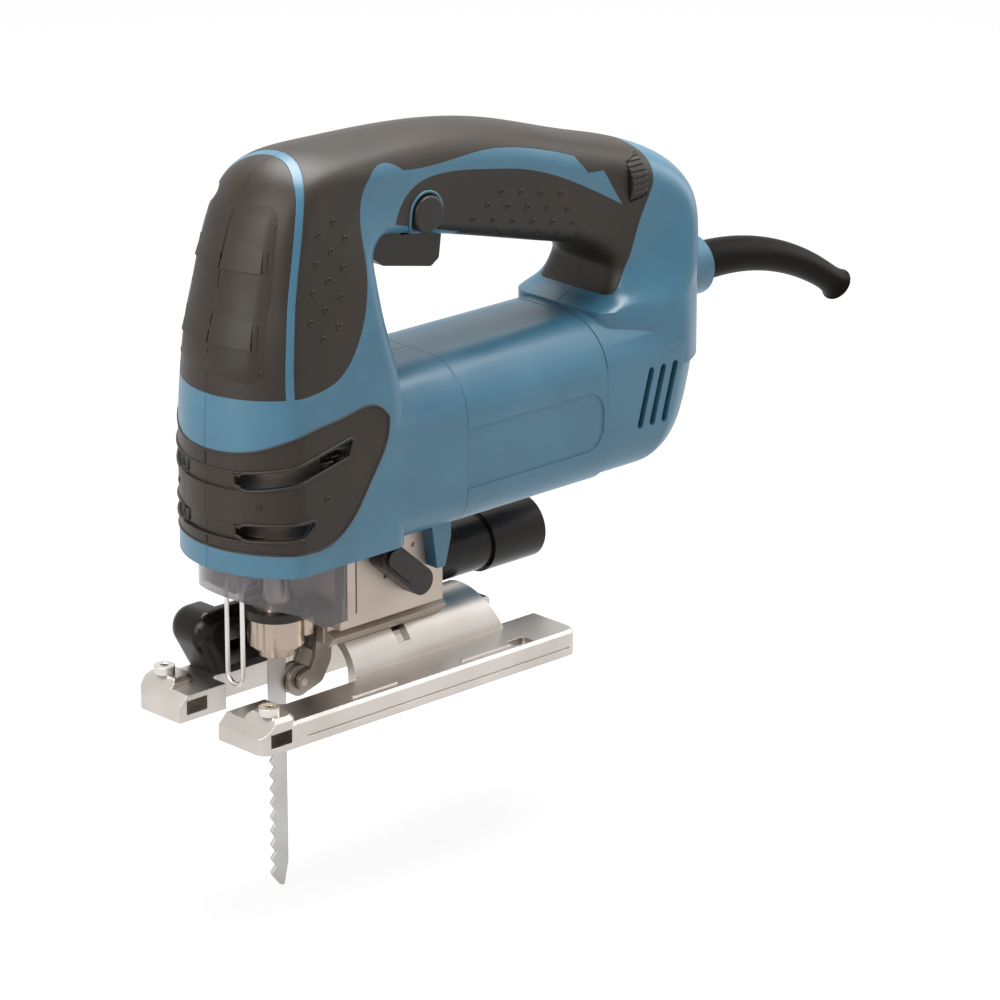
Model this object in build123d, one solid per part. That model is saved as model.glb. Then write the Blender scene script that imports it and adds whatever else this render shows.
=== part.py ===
# Corded jigsaw with a D handle, built as the separate pieces that come apart on a bench.
# Millimetres, +Z up. The blade's centre line meets the sole at the origin, the nose points to -X,
# the left side (lock button, orbit lever) is -Y.
import os
from math import acos, atan, atan2, cos, degrees, hypot, pi, radians, sin, sqrt, tan

from build123d import *

# Driving dimensions: clearances
RUN = 0.05           # running fit, radial
SLIP = 0.3           # free gap between pieces that move apart
SEAT = 0.05          # gap between fixed round pieces
SEAM = 0.15          # half of the groove between two moulded skins

# Driving dimensions: base
BASE_FRONT = -38.0
BASE_REAR = 121.0
BASE_WIDTH = 73.0
BASE_THICK = 10.0
BASE_CORNER = 5.0
NOTCH_HALF = 11.0        # blade notch between the front prongs
NOTCH_WIDE_HALF = 20.0   # wider pocket that lets the base tilt past the blade clamp
NOTCH_WIDE_FRONT = -15.5
ARCH_FRONT = 24.0
ARCH_REAR_TOP = 93.0
ARCH_REAR_FOOT = 100.0
ARCH_R = 17.0
ARCH_WALL = 4.0
TILT_Z = 9.0             # height of the tilt axis, which is the axis of the arch
TILT_MAX = 45.0
PAD_TOP = 13.0           # guide-rule clamp pads on the prongs
PAD_REAR = -21.0
PAD_INNER = 20.5
RULE_W = 10.0            # guide-rule slot, along X and Z
RULE_H = 5.4
RULE_X = -29.5
RULE_Z = 5.2
RULE_SCREW_Y = 29.5
GUIDE_SCREW_R = 2.0
GUIDE_HEAD_R = 4.0
GUIDE_HEAD_H = 3.0
HEX_R = 1.5
BASE_BEVEL = 1.2         # bevel round the top of the plate
PAD_BEVEL = 1.6
TOE_HEIGHT = 6.0         # height of the prongs' front face under their slope
TOE_LENGTH = 7.0
BAR_Y = 32.0             # thin raised bars on the plate
BAR_W = 1.6
BAR_H = 0.6
BAR_SPANS = ((9.0, 31.0), (64.0, 89.0))
DISH_LENGTH = 9.0        # small pocket behind the rear bar
DISH_DEPTH = 3.0
EDGE_GROOVE_Z = 3.0
EDGE_GROOVE = 0.5

# Driving dimensions: motor barrel and gear train
MOTOR_Z = 94.0
BARREL_HALF_W = 33.0
BARREL_HALF_H = 32.0
BARREL_TOP_R = 21.0
BARREL_LOW_R = 14.0
SEAM_FRONT = 66.3        # front handle shells to motor housing
SEAM_REAR = 139.5        # motor housing to rear handle shells
RIM_BEVEL = 0.5          # groove edge round both ends of the motor housing
PANEL_LOW = 77.5         # bare panel on the side of the motor housing
PANEL_H = 23.5
PANEL_R = 9.0
STATOR_R = 29.0
STATOR_FRONT = 84.0
STATOR_LENGTH = 44.0
POLE_HALF_ANGLE = 52.0
COIL_HALF_ANGLE = 80.0
COIL_OVERHANG = 8.0
YOKE_RING = 5.0          # radial depth of the stator's back iron
AIR_GAP = 0.6
ROTOR_R = 18.0
SHAFT_R = 4.0
COMM_R = 11.0
COMM_LENGTH = 14.0
FAN_R = 26.5
FAN_LENGTH = 6.5
FAN_BLADES = 11
BEARING_W = 8.0
FRONT_BEARING_R = 11.0
REAR_BEARING_R = 9.5
GEAR_Z = 122.0           # crank gear axis
PINION_TEETH = 10
GEAR_TEETH = 52
GEAR_FACE = 7.0
GEAR_X = 16.0
GEAR_SHAFT_R = 5.0
PRESSURE_ANGLE = 20.0
BACKLASH = 0.12          # taken off each tooth's half thickness, in mm at the pitch circle
STROKE = 26.0
CRANK_PIN_R = 3.5
YOKE_ROLLER_R = 5.0

# Driving dimensions: housing skin
WALL = 3.2
RUBBER = 1.7
VENT_GROOVE = 0.9
VENT_Y = 8.0             # half of the bridge left between the louvres on the nose
NOSE_X = -33.0
REAR_X = 206.0
NOSE_R = 41.0
SHOULDER_Z = 118.0       # where the front leg starts to narrow
RIM_Z = 63.0             # open bottom rim of the front shell
GRIP_HALF_W = 19.5
GRIP_TOP_Z = 213.5
CORD_Z = 127.0
BOSS_R = 12.0
BOSS_END = 218.0

# Driving dimensions: plunger, clamp and blade
PLUNGER_R = 5.0
PLUNGER_TOP = 164.0
BUSH_R = 7.5
LOW_BUSH_Z = 67.0
LOW_BUSH_H = 14.0
TOP_BUSH_Z = 148.0
TOP_BUSH_H = 12.0
HOLDER_R = 8.0
HOLDER_LOW = 21.5
HOLDER_TOP = 40.0
COLLAR_R = 6.9           # necked lower end of the holder
COLLAR_H = 3.0
SNAP_R = 9.0             # snap ring that keeps the sleeve up
SNAP_H = 1.0
SLEEVE_R = 10.6
CAP_H = 3.4
CAP_R = 11.8
BLADE_W = 8.0
BLADE_T = 1.3
BLADE_TIP = -72.0
TOOTH_PITCH = 5.6
TOOTH_DEPTH = 2.3
TOOTH_COUNT = 10

# Driving dimensions: roller guide, orbit lever, dust parts
ROLLER_X = 9.2
ROLLER_Z = 8.6
ROLLER_R = 6.0
ROLLER_W = 6.0
ROLLER_GROOVE_R = 1.2
ROLLER_PIN_R = 1.5
ARM_R = 3.9             # half width of the retainer arms
PIVOT_X = 19.4
PIVOT_Z = 27.0
PIVOT_R = 2.0
CHEEK_T = 2.0
GEAR_CASE_FRONT = 16.0
GEAR_CASE_REAR = 67.5
GEAR_CASE_HALF = 18.0
GEAR_CASE_LOW = 30.5
GEAR_CASE_TOP = 69.0
CASE_WALL = 4.0
ORBIT_R = 3.0
DETENT_R = 0.9
DETENT_RING = 12.3
DETENT_ANGLES = (165, 115, 81, 40)
PLATE_GROOVE_X = 23.5
LEVER_X = 50.5
LEVER_Z = 43.5
LEVER_LENGTH = 19.0
LEVER_ANGLE = 139.0
LEVER_T = 7.0
LEVER_R = 5.4
NOZZLE_Y = 30.6
NOZZLE_Z = 26.2
NOZZLE_R = 12.6
NOZZLE_BORE = 10.5
NOZZLE_STEP = 129.0
NOZZLE_END = 156.0
NOZZLE_STEP_R = 1.2
MOUTH_FRONT = -20.5
MOUTH_REAR = 26.0
MOUTH_INNER = 18.5
MOUTH_OUTER = 39.0
MOUTH_TOP = 34.5
MOUTH_ROUND = 8.0
MOUTH_RAKE = 8.0         # how far the mouth leans back at its foot
MOUTH_NOSE = 13.0        # closed length in front of the opening
TAB_LOW = 46.0           # lower end of the shells' hooks over the gear case
COVER_R = 34.5
COVER_HALF = 26.5
COVER_T = 2.0
WIRE_R = 0.9
WIRE_X = -20.0
WIRE_HALF = 4.3
WIRE_LOW = 14.0

# Driving dimensions: controls
TRIGGER_PIVOT_X = 47.0
TRIGGER_PIVOT_Z = 181.0
TRIGGER_PIN_R = 1.5
TRIGGER_PIN_HALF = 18.2
TRIGGER_HALF = 7.5
BUTTON_X = 57.6
BUTTON_Z = 183.4
BUTTON_R = 7.0
DIAL_X = 166.0
DIAL_Z = 174.0
DIAL_R = 10.5
DIAL_W = 8.0
DIAL_RIBS = 28
SCREW_R = 2.0
SCREW_HEAD_R = 3.6

# Driving dimensions: cord guard
GUARD_ROOT_R = 8.0
GUARD_NECK_R = 6.5
GUARD_FLANGE_R = 8.5
GUARD_FLANGE_T = 3.0
GUARD_END_R = 5.2
GUARD_LIP_R = 6.8
GUARD_BORE_R = 3.6
GUARD_LENGTH = 88.0
GUARD_DROOP = 38.0
GUARD_STRAIGHT = 8.0


def block(x0, x1, y0, y1, z0, z1):
    """Box between two corners."""
    centre = Pos((x0 + x1) / 2, (y0 + y1) / 2, (z0 + z1) / 2)
    return centre * Box(x1 - x0, y1 - y0, z1 - z0)


def rod(axis, r, start, end, a=0.0, b=0.0):
    """Cylinder along X, Y or Z from start to end; a and b place it on the two other axes, in order."""
    mid = (start + end) / 2
    turn, place = {
        "x": (Rot(0, 90, 0), Pos(mid, a, b)),
        "y": (Rot(90, 0, 0), Pos(a, mid, b)),
        "z": (Rot(0, 0, 0), Pos(a, b, mid)),
    }[axis]
    return place * turn * Cylinder(r, end - start)


def tube(axis, r_out, r_in, start, end, a=0.0, b=0.0):
    """Hollow cylinder along an axis."""
    return rod(axis, r_out, start, end, a, b) - rod(axis, r_in, start - 1, end + 1, a, b)


def side_prism(outline, y0, y1):
    """Extrude a face drawn in side view, where its x and y are X and Z, from y0 to y1."""
    plane = Plane(origin=(0, y1, 0), x_dir=(1, 0, 0), z_dir=(0, -1, 0))
    return extrude(plane * outline, amount=y1 - y0, dir=(0, -1, 0))


def cross_prism(outline, x0, x1):
    """Extrude a face drawn in cross-section, where its x and y are Y and Z, from x0 to x1."""
    plane = Plane(origin=(x0, 0, 0), x_dir=(0, 1, 0), z_dir=(1, 0, 0))
    return extrude(plane * outline, amount=x1 - x0, dir=(1, 0, 0))


def plan_prism(outline, z0, z1):
    """Extrude a face drawn in plan, where its x and y are X and Y, from z0 to z1."""
    return extrude(Pos(0, 0, z0) * outline, amount=z1 - z0, dir=(0, 0, 1))


def polygon(*points, radius=0.0):
    """Closed straight-sided face with every corner rounded alike."""
    face = make_face(Polyline(*points, close=True))
    return fillet(face.vertices(), radius) if radius else face


def sector(r_in, r_out, half_angle, middle):
    """Ring sector about the origin, centred on the direction middle, in degrees."""
    span = radians(half_angle)
    turn = radians(middle)

    def at(r, angle):
        return (r * cos(turn + angle), r * sin(turn + angle))

    return make_face([
        ThreePointArc(at(r_out, -span), at(r_out, 0), at(r_out, span)),
        Line(at(r_out, span), at(r_in, span)),
        ThreePointArc(at(r_in, span), at(r_in, 0), at(r_in, -span)),
        Line(at(r_in, -span), at(r_out, -span)),
    ])


def capsule(p, q, r):
    """Face of two equal round ends joined by straight sides."""
    length = hypot(q[0] - p[0], q[1] - p[1])
    turn = degrees(atan2(q[1] - p[1], q[0] - p[0]))
    return Pos((p[0] + q[0]) / 2, (p[1] + q[1]) / 2) * Rot(0, 0, turn) * SlotCenterToCenter(length, 2 * r)


# Housing skin. Each section of the D frame runs from the finger gap out to the silhouette:
# inner point, outer point, half widths at both, crown of the outer edge, outer and inner corner radius.
NOSE_CROWN = NOSE_R - sqrt(NOSE_R ** 2 - BARREL_HALF_W ** 2)
GAP_FRONT = NOSE_X + 69.0
GAP_REAR = REAR_X - 49.0
GRIP_UNDER = GRIP_TOP_Z - 40.0
FOOT_Z = MOTOR_Z + BARREL_HALF_H + 2.0
REAR_HALF = BARREL_HALF_W - 0.6
REAR_CROWN = 24.0
LEG_Z = MOTOR_Z + 8.0     # top of the straight part of the front leg


def skin_sections():
    """Sections of the D frame from the front leg over the handle to the rear leg."""
    wide = BARREL_HALF_W
    slim = GRIP_HALF_W
    mid = wide - slim
    full = NOSE_CROWN

    def even(half):
        return (half, half)

    return [
        ((GAP_FRONT + 4, LEG_Z), (NOSE_X, LEG_Z), even(wide), full, 10, 10),
        ((GAP_FRONT + 4, LEG_Z + 3), (NOSE_X, LEG_Z + 3), even(wide), full, 10, 10),
        ((GAP_FRONT + 4, LEG_Z + 8), (NOSE_X + 0.1, LEG_Z + 8), even(wide - 0.1), full, 10, 10),
        ((GAP_FRONT + 3.6, LEG_Z + 15), (NOSE_X + 0.3, LEG_Z + 15), even(slim + 0.97 * mid), full - 0.2, 10,
         10),
        ((GAP_FRONT + 2.6, LEG_Z + 25), (NOSE_X + 0.8, LEG_Z + 24), even(slim + 0.92 * mid), full - 0.7, 10,
         10),
        ((GAP_FRONT + 0.4, LEG_Z + 36), (NOSE_X + 1.6, LEG_Z + 34), even(slim + 0.85 * mid), 15.3, 10, 10),
        ((GAP_FRONT - 3, LEG_Z + 50), (NOSE_X + 3.6, LEG_Z + 50), even(slim + 0.72 * mid), 14, 10, 9),
        ((GAP_FRONT - 4.8, GRIP_UNDER - 9), (NOSE_X + 7.2, GRIP_TOP_Z - 47), even(slim + 0.58 * mid), 12.5,
         11, 8),
        ((GAP_FRONT - 4.4, GRIP_UNDER), (NOSE_X + 13.5, GRIP_TOP_Z - 23.5), even(slim + 0.43 * mid), 11, 11,
         8),
        ((GAP_FRONT, GRIP_UNDER + 4), (NOSE_X + 25, GRIP_TOP_Z - 6), even(slim + 0.3 * mid), 9.5, 11, 8),
        ((GAP_FRONT + 9, GRIP_UNDER + 3.5), (NOSE_X + 55, GRIP_TOP_Z), even(slim + 0.18 * mid), 8, 12, 9),
        ((GAP_FRONT + 27, GRIP_UNDER - 0.5), (NOSE_X + 97, GRIP_TOP_Z - 1), even(slim + 0.06 * mid), 7, 12,
         10),
        ((GAP_FRONT + 63, GRIP_UNDER - 9.5), (NOSE_X + 143, GRIP_TOP_Z - 8), even(slim), 6.5, 12, 10),
        ((GAP_REAR - 26, GRIP_UNDER - 17.7), (REAR_X - 56, GRIP_TOP_Z - 20), (slim, slim + 0.05 * mid), 6.5,
         12, 10),
        ((GAP_REAR - 7.5, GRIP_UNDER - 24), (REAR_X - 21, GRIP_TOP_Z - 31.5), (slim, slim + 0.25 * mid), 8,
         12, 9),
        ((GAP_REAR, GRIP_UNDER - 31), (REAR_X - 4, GRIP_TOP_Z - 45.5), (slim, slim + 0.55 * mid), 12, 11, 9),
        ((GAP_REAR - 0.5, FOOT_Z + 9), (REAR_X - 0.5, FOOT_Z + 22), (slim + 0.5, slim + 0.78 * mid), 17, 10,
         9),
        ((GAP_REAR - 4.5, FOOT_Z + 3), (REAR_X, FOOT_Z + 10), (slim + 2.5, slim + 0.9 * mid), 21, 10, 9),
        ((GAP_REAR - 9, FOOT_Z + 0.7), (REAR_X, FOOT_Z + 3.5), (slim + 4.5, REAR_HALF - 0.5),
         REAR_CROWN - 0.6, 10, 9),
        ((GAP_REAR - 13, FOOT_Z - 1), (REAR_X, FOOT_Z), (slim + 5.5, REAR_HALF), REAR_CROWN, 10, 9),
    ]


def skin_face(section, inset):
    """Left half of one section of the D frame, drawn in on all sides by inset."""
    (in_x, in_z), (out_x, out_z), (half_in, half_out), crown, r_out, r_in = section
    span = hypot(out_x - in_x, out_z - in_z)
    ux = (out_x - in_x) / span
    uz = (out_z - in_z) / span
    high = span - inset
    side = half_out - inset
    side_in = half_in - inset
    crown_r = (side ** 2 + crown ** 2) / (2 * crown)
    mid_turn = atan2(side, crown_r - crown) / 2
    crown_mid = (high - crown_r + crown_r * cos(mid_turn), crown_r * sin(mid_turn))
    face = make_face([
        Line((inset, 0), (inset, side_in)),
        Line((inset, side_in), (high - crown, side)),
        ThreePointArc((high - crown, side), crown_mid, (high, 0)),
        Line((high, 0), (inset, 0)),
    ])
    face = fillet([v for v in face.vertices() if v.Y > 1 and v.X < inset + 1], r_in - inset)
    face = fillet([v for v in face.vertices() if abs(v.X - high + crown) < 0.01 and v.Y > 1], r_out - inset)
    plane = Plane(origin=(in_x, 0, in_z), x_dir=(ux, 0, uz), z_dir=(uz, 0, -ux))
    return plane * face


def barrel(x0, x1, inset=0.0):
    """Motor barrel: a square with unequal rounded corners."""
    half_w = BARREL_HALF_W - inset
    half_h = BARREL_HALF_H - inset
    face = Rectangle(2 * half_w, 2 * half_h)
    corners = face.vertices().sort_by(Axis.Y)
    face = fillet(corners[:2], BARREL_LOW_R - inset)
    face = fillet(face.vertices().sort_by(Axis.Y)[-2:], BARREL_TOP_R - inset)
    return cross_prism(Pos(0, MOTOR_Z) * face, x0, x1)


def rear_block(inset):
    """Rear of the handle behind the motor housing: a barrel section whose rear leans in towards the bottom."""
    low = MOTOR_Z - BARREL_HALF_H + 1.0

    def level(z, rear, half):
        """Plan of the block at a height: straight in front, crowned behind."""
        crown = REAR_CROWN * half / REAR_HALF
        side = half - inset
        face = make_face([
            Line((SEAM_REAR, -side), (SEAM_REAR, side)),
            Line((SEAM_REAR, side), (rear - crown, side)),
            ThreePointArc((rear - crown, side), (rear - inset, 0), (rear - crown, -side)),
            Line((rear - crown, -side), (SEAM_REAR, -side)),
        ])
        ends = [v for v in face.vertices() if abs(v.X - (rear - crown)) < 0.01]
        return Pos(0, 0, z) * fillet(ends, 10 - inset)

    wide = REAR_HALF
    body = loft([
        level(low + inset, REAR_X - 30, wide - 12.5),
        level(low + inset + 0.7, REAR_X - 26, wide - 9),
        level(low + inset + 3, REAR_X - 20.5, wide - 4.8),
        level(low + inset + 7.5, REAR_X - 15, wide - 1.6),
        level(low + inset + 13, REAR_X - 11, wide - 0.2),
        level(low + 22, REAR_X - 7, wide),
        level(low + 36, REAR_X - 3.2, wide),
        level(low + 50, REAR_X - 0.9, wide),
        level(low + 60, REAR_X - 0.2, wide),
        level(FOOT_Z, REAR_X, wide),
    ])
    return body & barrel(SEAM_REAR - 1, REAR_X + 2, inset)


def skin_form(inset, open_rim=False):
    """Solid outline of the left handle shell, drawn in by inset."""
    sections = skin_sections()
    down = (0, 0, -1)
    frame = loft([skin_face(s, inset) for s in sections])
    leg = extrude(skin_face(sections[0], inset), amount=LEG_Z - RIM_Z + (5 if open_rim else 0), dir=down)
    foot = extrude(skin_face(sections[-1], inset), amount=FOOT_Z - MOTOR_Z - 8, dir=down)
    neck = barrel(GEAR_CASE_FRONT, SEAM_FRONT, inset)
    boss = rod("x", BOSS_R - inset, REAR_X - 30, BOSS_END - inset, 0, CORD_Z)
    return frame + leg + foot + left_of_seam(neck + rear_block(inset) + boss, 0.0)


def grip_region():
    """Side-view face of the soft grip, with the moulded swoosh left bare inside it."""
    top = GRIP_TOP_Z
    outer = make_face([
        Spline((NOSE_X + 42, top + 12), (NOSE_X + 37, top - 2.5), (NOSE_X + 33.3, top - 6.6),
               (NOSE_X + 30.4, top - 12), (NOSE_X + 26.8, top - 24), (NOSE_X + 23.3, top - 38),
               (NOSE_X + 20.3, top - 52), (NOSE_X + 18, top - 66), (NOSE_X + 16.8, top - 83)),
        Spline((NOSE_X + 16.8, top - 83), (NOSE_X + 28, top - 82.5), (NOSE_X + 38, top - 79.5),
               (NOSE_X + 46, top - 72),
               (NOSE_X + 53.5, top - 57), (NOSE_X + 56, top - 41), (NOSE_X + 59, top - 14),
               (NOSE_X + 65, top - 8.5), (NOSE_X + 79, top - 11.5)),
        Polyline((NOSE_X + 79, top - 11.5), (NOSE_X + 74.5, top - 31), (NOSE_X + 92, top - 36.5),
                 (NOSE_X + 111, top - 42), (NOSE_X + 118, top - 66)),
        Line((NOSE_X + 118, top - 66), (REAR_X - 70, top - 70)),
        Spline((REAR_X - 70, top - 70), (REAR_X - 61, top - 79.5), (REAR_X - 52.5, top - 82),
               (REAR_X - 46.5, top - 75), (REAR_X - 42.5, top - 65), (REAR_X - 38, top - 52),
               (REAR_X - 32.5, top - 40), (REAR_X - 32, top - 30), (REAR_X - 37, top - 22)),
        Polyline((REAR_X - 37, top - 22), (REAR_X - 43, top + 12), (NOSE_X + 42, top + 12)),
    ])
    swoosh = make_face([
        Spline((NOSE_X + 79, top - 11.5), (NOSE_X + 105, top - 12.5), (NOSE_X + 124, top - 12.5),
               (NOSE_X + 142, top - 15.5), (REAR_X - 71, top - 23.5)),
        Polyline((REAR_X - 71, top - 23.5), (REAR_X - 65, top - 31), (REAR_X - 57, top - 31.5),
                 (REAR_X - 47.5, top - 46.5)),
        Spline((REAR_X - 47.5, top - 46.5), (REAR_X - 60, top - 39.5), (REAR_X - 80, top - 29.5),
               (NOSE_X + 140, top - 23), (NOSE_X + 122, top - 19.5), (NOSE_X + 97, top - 16.5),
               (NOSE_X + 84, top - 19), (NOSE_X + 77.5, top - 24.5), (NOSE_X + 74.5, top - 31)),
        Polyline((NOSE_X + 74.5, top - 31), (NOSE_X + 72, top - 31), (NOSE_X + 72, top - 11.5),
                 (NOSE_X + 79, top - 11.5)),
    ])
    return outer - swoosh


def front_pad_region():
    """Side-view face of the segmented pad on the nose of the handle."""
    top = GRIP_TOP_Z
    return make_face([
        Spline((NOSE_X + 38, top + 6), (NOSE_X + 34, top - 2.3), (NOSE_X + 30.8, top - 6.1),
               (NOSE_X + 27.8, top - 12),
               (NOSE_X + 23.9, top - 24), (NOSE_X + 20.5, top - 38), (NOSE_X + 17.5, top - 52),
               (NOSE_X + 15.2, top - 66), (NOSE_X + 14, top - 83)),
        Polyline((NOSE_X + 14, top - 83), (NOSE_X - 10, top - 84.5), (NOSE_X - 10, top + 6),
                 (NOSE_X + 38, top + 6)),
    ])


def vent_region():
    """Side-view face of the louvre cover round the nose."""
    low = MOTOR_Z - 22
    return make_face([
        Spline((NOSE_X - 10, low + 36.5), (NOSE_X + 5, low + 38.5), (NOSE_X + 14, low + 43),
               (NOSE_X + 40, low + 47.5), (NOSE_X + 54, low + 48.5), (NOSE_X + 60.5, low + 43)),
        Spline((NOSE_X + 60.5, low + 43), (NOSE_X + 59, low + 34), (NOSE_X + 51, low + 20.5),
               (NOSE_X + 43, low + 9), (NOSE_X + 34, low + 2), (NOSE_X + 22, low)),
        Polyline((NOSE_X + 22, low), (NOSE_X - 10, low), (NOSE_X - 10, low + 36.5)),
    ])


def vent_slots(grow):
    """The two louvre openings on each side of the nose, each side moved out by grow."""
    low = MOTOR_Z - 22
    upper = polygon((NOSE_X + 3 - grow, low + 23.5 - grow), (NOSE_X + 41 + grow, low + 32 - grow),
                    (NOSE_X + 43.5 + grow, low + 39.5 + grow), (NOSE_X + 3 - grow, low + 30.5 + grow),
                    radius=1.4)
    lower = polygon((NOSE_X + 3 - grow, low + 4.5 - grow), (NOSE_X + 19 + grow, low + 5.5 - grow),
                    (NOSE_X + 27 + grow, low + 12 + grow), (NOSE_X + 3 - grow, low + 11 + grow), radius=1.4)
    return [side_prism(slot, y0, y0 + 50) for slot in (upper, lower) for y0 in (-VENT_Y - 50, VENT_Y)]


def vent_grooves():
    """Side-view faces of the shallow grooves that carry the louvre openings round the nose."""
    low = MOTOR_Z - 22
    return [polygon((NOSE_X - 5, low + z), (NOSE_X + 3, low + z), (NOSE_X + 3, low + z + 7),
                    (NOSE_X - 5, low + z + 7))
            for z in (23.5, 4.2)]


def rear_slots():
    """Slanted air slots in the rear shells."""
    first_low = (SEAM_REAR + 18, MOTOR_Z - 12)
    lean = 5.8
    rise = 20.5
    step = 6.4
    slots = []
    for i in range(3):
        low = (first_low[0] + step * i, first_low[1])
        high = (low[0] + lean, low[1] + rise)
        slots += [side_prism(capsule(low, high, 1.5), y0, y0 + 40) for y0 in (-60, 20)]
    return slots


# Places worked out from the driving dimensions
HALF_SPACE = 300.0
SIDE_REACH = 60.0
RIB_T = 3.0
CLAMP_X = REAR_X - 34
CLAMP_L = 10.0
CLAMP_Z = CORD_Z + 4
SCREW_SPOTS = [(NOSE_X + 25, GRIP_TOP_Z - 17.5), (NOSE_X + 16, SHOULDER_Z + 5),
               (NOSE_X + 145, GRIP_TOP_Z - 31.5), (REAR_X - 16, GRIP_TOP_Z - 53.5), (REAR_X - 28,
                                                                                     MOTOR_Z - 17)]
SCREW_BOSS_R = 5.6
SCREW_HEAD_Y = 8.0
SCREW_HEAD_H = 3.0
SCREW_TIP_Y = -9.0
BUTTON_HOLE_R = BUTTON_R + 0.25
BUTTON_FACE_Y = -(GRIP_HALF_W + 3.4)
BUTTON_INNER_Y = -12.5
BUTTON_FLANGE_Y = -15.7
BUTTON_FLANGE_R = BUTTON_R + 1.1
BUTTON_FLANGE_T = 1.6
DIAL_Y = DIAL_R - GRIP_HALF_W - 3.6
DIAL_AXLE_R = 2.0
SWITCH_FRONT = 57.0
SWITCH_REAR = 91.0
SWITCH_LOW = GRIP_TOP_Z - 36.0
SWITCH_TOP = GRIP_TOP_Z - 17.5
SWITCH_HALF = 9.0
TRIGGER_SLOT_REAR = TRIGGER_PIVOT_X + 32
BELL_R = BARREL_HALF_H - WALL - SLIP
BELL_WALL = 1.8
GUARD_FLANGE_X = REAR_X - 5
BELL_FRONT = GEAR_X + GEAR_FACE + 4
BEARING_X = BELL_FRONT
GEAR_BOSS_REAR = BELL_FRONT + 5
POST_REAR = BELL_FRONT + 0.6
ROTOR_FRONT = STATOR_FRONT + 2
ROTOR_LENGTH = STATOR_LENGTH - 4
WINDING_R = 15.0
WINDING_OUT = COIL_OVERHANG - 1
COMM_FRONT = STATOR_FRONT + STATOR_LENGTH + COIL_OVERHANG + 2
FAN_FRONT = STATOR_FRONT - COIL_OVERHANG - FAN_LENGTH - 1.5
BRIDGE_R = 27.0
BRIDGE_REAR = COMM_FRONT + COMM_LENGTH + 18
REAR_BEARING_X = BRIDGE_REAR - BEARING_W - 2
BRUSH_X = COMM_FRONT + COMM_LENGTH / 2
BRUSH_HALF = 3.2
BRUSH_BOX_HALF = 4.6
MODULE = 2 * (GEAR_Z - MOTOR_Z) / (PINION_TEETH + GEAR_TEETH)
CRANK_R = STROKE / 2
CRANK_Z = GEAR_Z - CRANK_R
YOKE_X = 10.5
YOKE_HALF_W = 19.0
YOKE_HALF_H = 8.0
ARM_HALF = 7.0
PLATE_Z = LOW_BUSH_Z
PLATE_H = 6.0
PLATE_HALF = 13.0
PLATE_FRONT = WIRE_X - 4
SADDLE_R = ARCH_R + SLIP
SADDLE_REAR = 73.0
SADDLE_HALF_ANGLE = 40.0
BOLT_X = LEVER_X
BOLT_R = 3.0
SHOE_HALF_ANGLE = 40.0
SHOE_T = 4.0
SHOE_HALF_L = 10.0
SLEEVE_LOW = HOLDER_LOW + COLLAR_H + SNAP_H + SLIP
SHANK_TOP = HOLDER_LOW + 12
CAP_LOW = HOLDER_TOP - CAP_H
SLEEVE_TOP = CAP_LOW - SLIP
CHEEK_IN = ROLLER_W / 2 + SLIP
CHEEK_OUT = CHEEK_IN + CHEEK_T
EAR_IN = CHEEK_OUT + SLIP
EAR_OUT = EAR_IN + 3.5
COVER_TOP = RIM_Z + 4
COVER_REAR = GEAR_CASE_FRONT - 4
COVER_CENTRE = NOSE_X + NOSE_R


def left_of_seam(shape, gap):
    """The part of a shape on the left of the centre plane, a gap away from it."""
    return shape & block(-HALF_SPACE, HALF_SPACE, -HALF_SPACE, -gap, -HALF_SPACE, HALF_SPACE)


def mirrored(shape, side):
    """A left-hand shape as it is for side -1, or mirrored to the right for side 1."""
    return shape if side < 0 else mirror(shape, Plane.XZ)


def blank_skins():
    """Left handle shell, its let-in grip, pad and louvre cover before their holes, and the dial ribs."""
    outer = skin_form(0.0)
    under = skin_form(RUBBER)
    cavity = skin_form(WALL, open_rim=True)
    cavity += left_of_seam(barrel(SEAM_FRONT - 1, SEAM_REAR + 1, WALL), 0.0)
    regions = (grip_region(), front_pad_region(), vent_region())
    grooved = skin_form(VENT_GROOVE)
    recesses = [side_prism(region, -SIDE_REACH, 0) - under for region in regions]
    bands = [recess & outer for recess in recesses]
    bands[-1] -= [side_prism(face, -SIDE_REACH, 0) - grooved for face in vent_grooves()]
    shell = outer - cavity - barrel(SEAM_FRONT, SEAM_REAR)
    for recess in recesses:
        shell -= recess
    inside = [rod("y", SCREW_BOSS_R, -SIDE_REACH, 0, x, z) for x, z in SCREW_SPOTS]
    inside += [block(x, x + RIB_T, -SIDE_REACH, 0, SWITCH_LOW, SWITCH_TOP)
               for x in (SWITCH_FRONT + 13, SWITCH_REAR - 8)]
    inside.append(block(CLAMP_X, CLAMP_X + CLAMP_L, -SIDE_REACH, -GUARD_BORE_R - 1.4, CLAMP_Z - 8, CLAMP_Z))
    shell += [under & piece for piece in inside]
    dial_side = DIAL_W / 2 + 0.5
    dial_ribs = [under & block(x, x + RIB_T, -SIDE_REACH, DIAL_Y + 6, DIAL_Z - 7, DIAL_Z + 7)
                 for x in (DIAL_X - dial_side - RIB_T, DIAL_X + dial_side)]
    tab = polygon((SEAM_FRONT - 10, RIM_Z + 3), (SEAM_FRONT - 7, TAB_LOW), (SEAM_FRONT - 3, TAB_LOW),
                  (SEAM_FRONT, RIM_Z - 6), (SEAM_FRONT, RIM_Z + 3))
    shell += side_prism(tab, -GEAR_CASE_HALF - 6, -GEAR_CASE_HALF - SEAT)
    return shell, bands, dial_ribs


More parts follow.
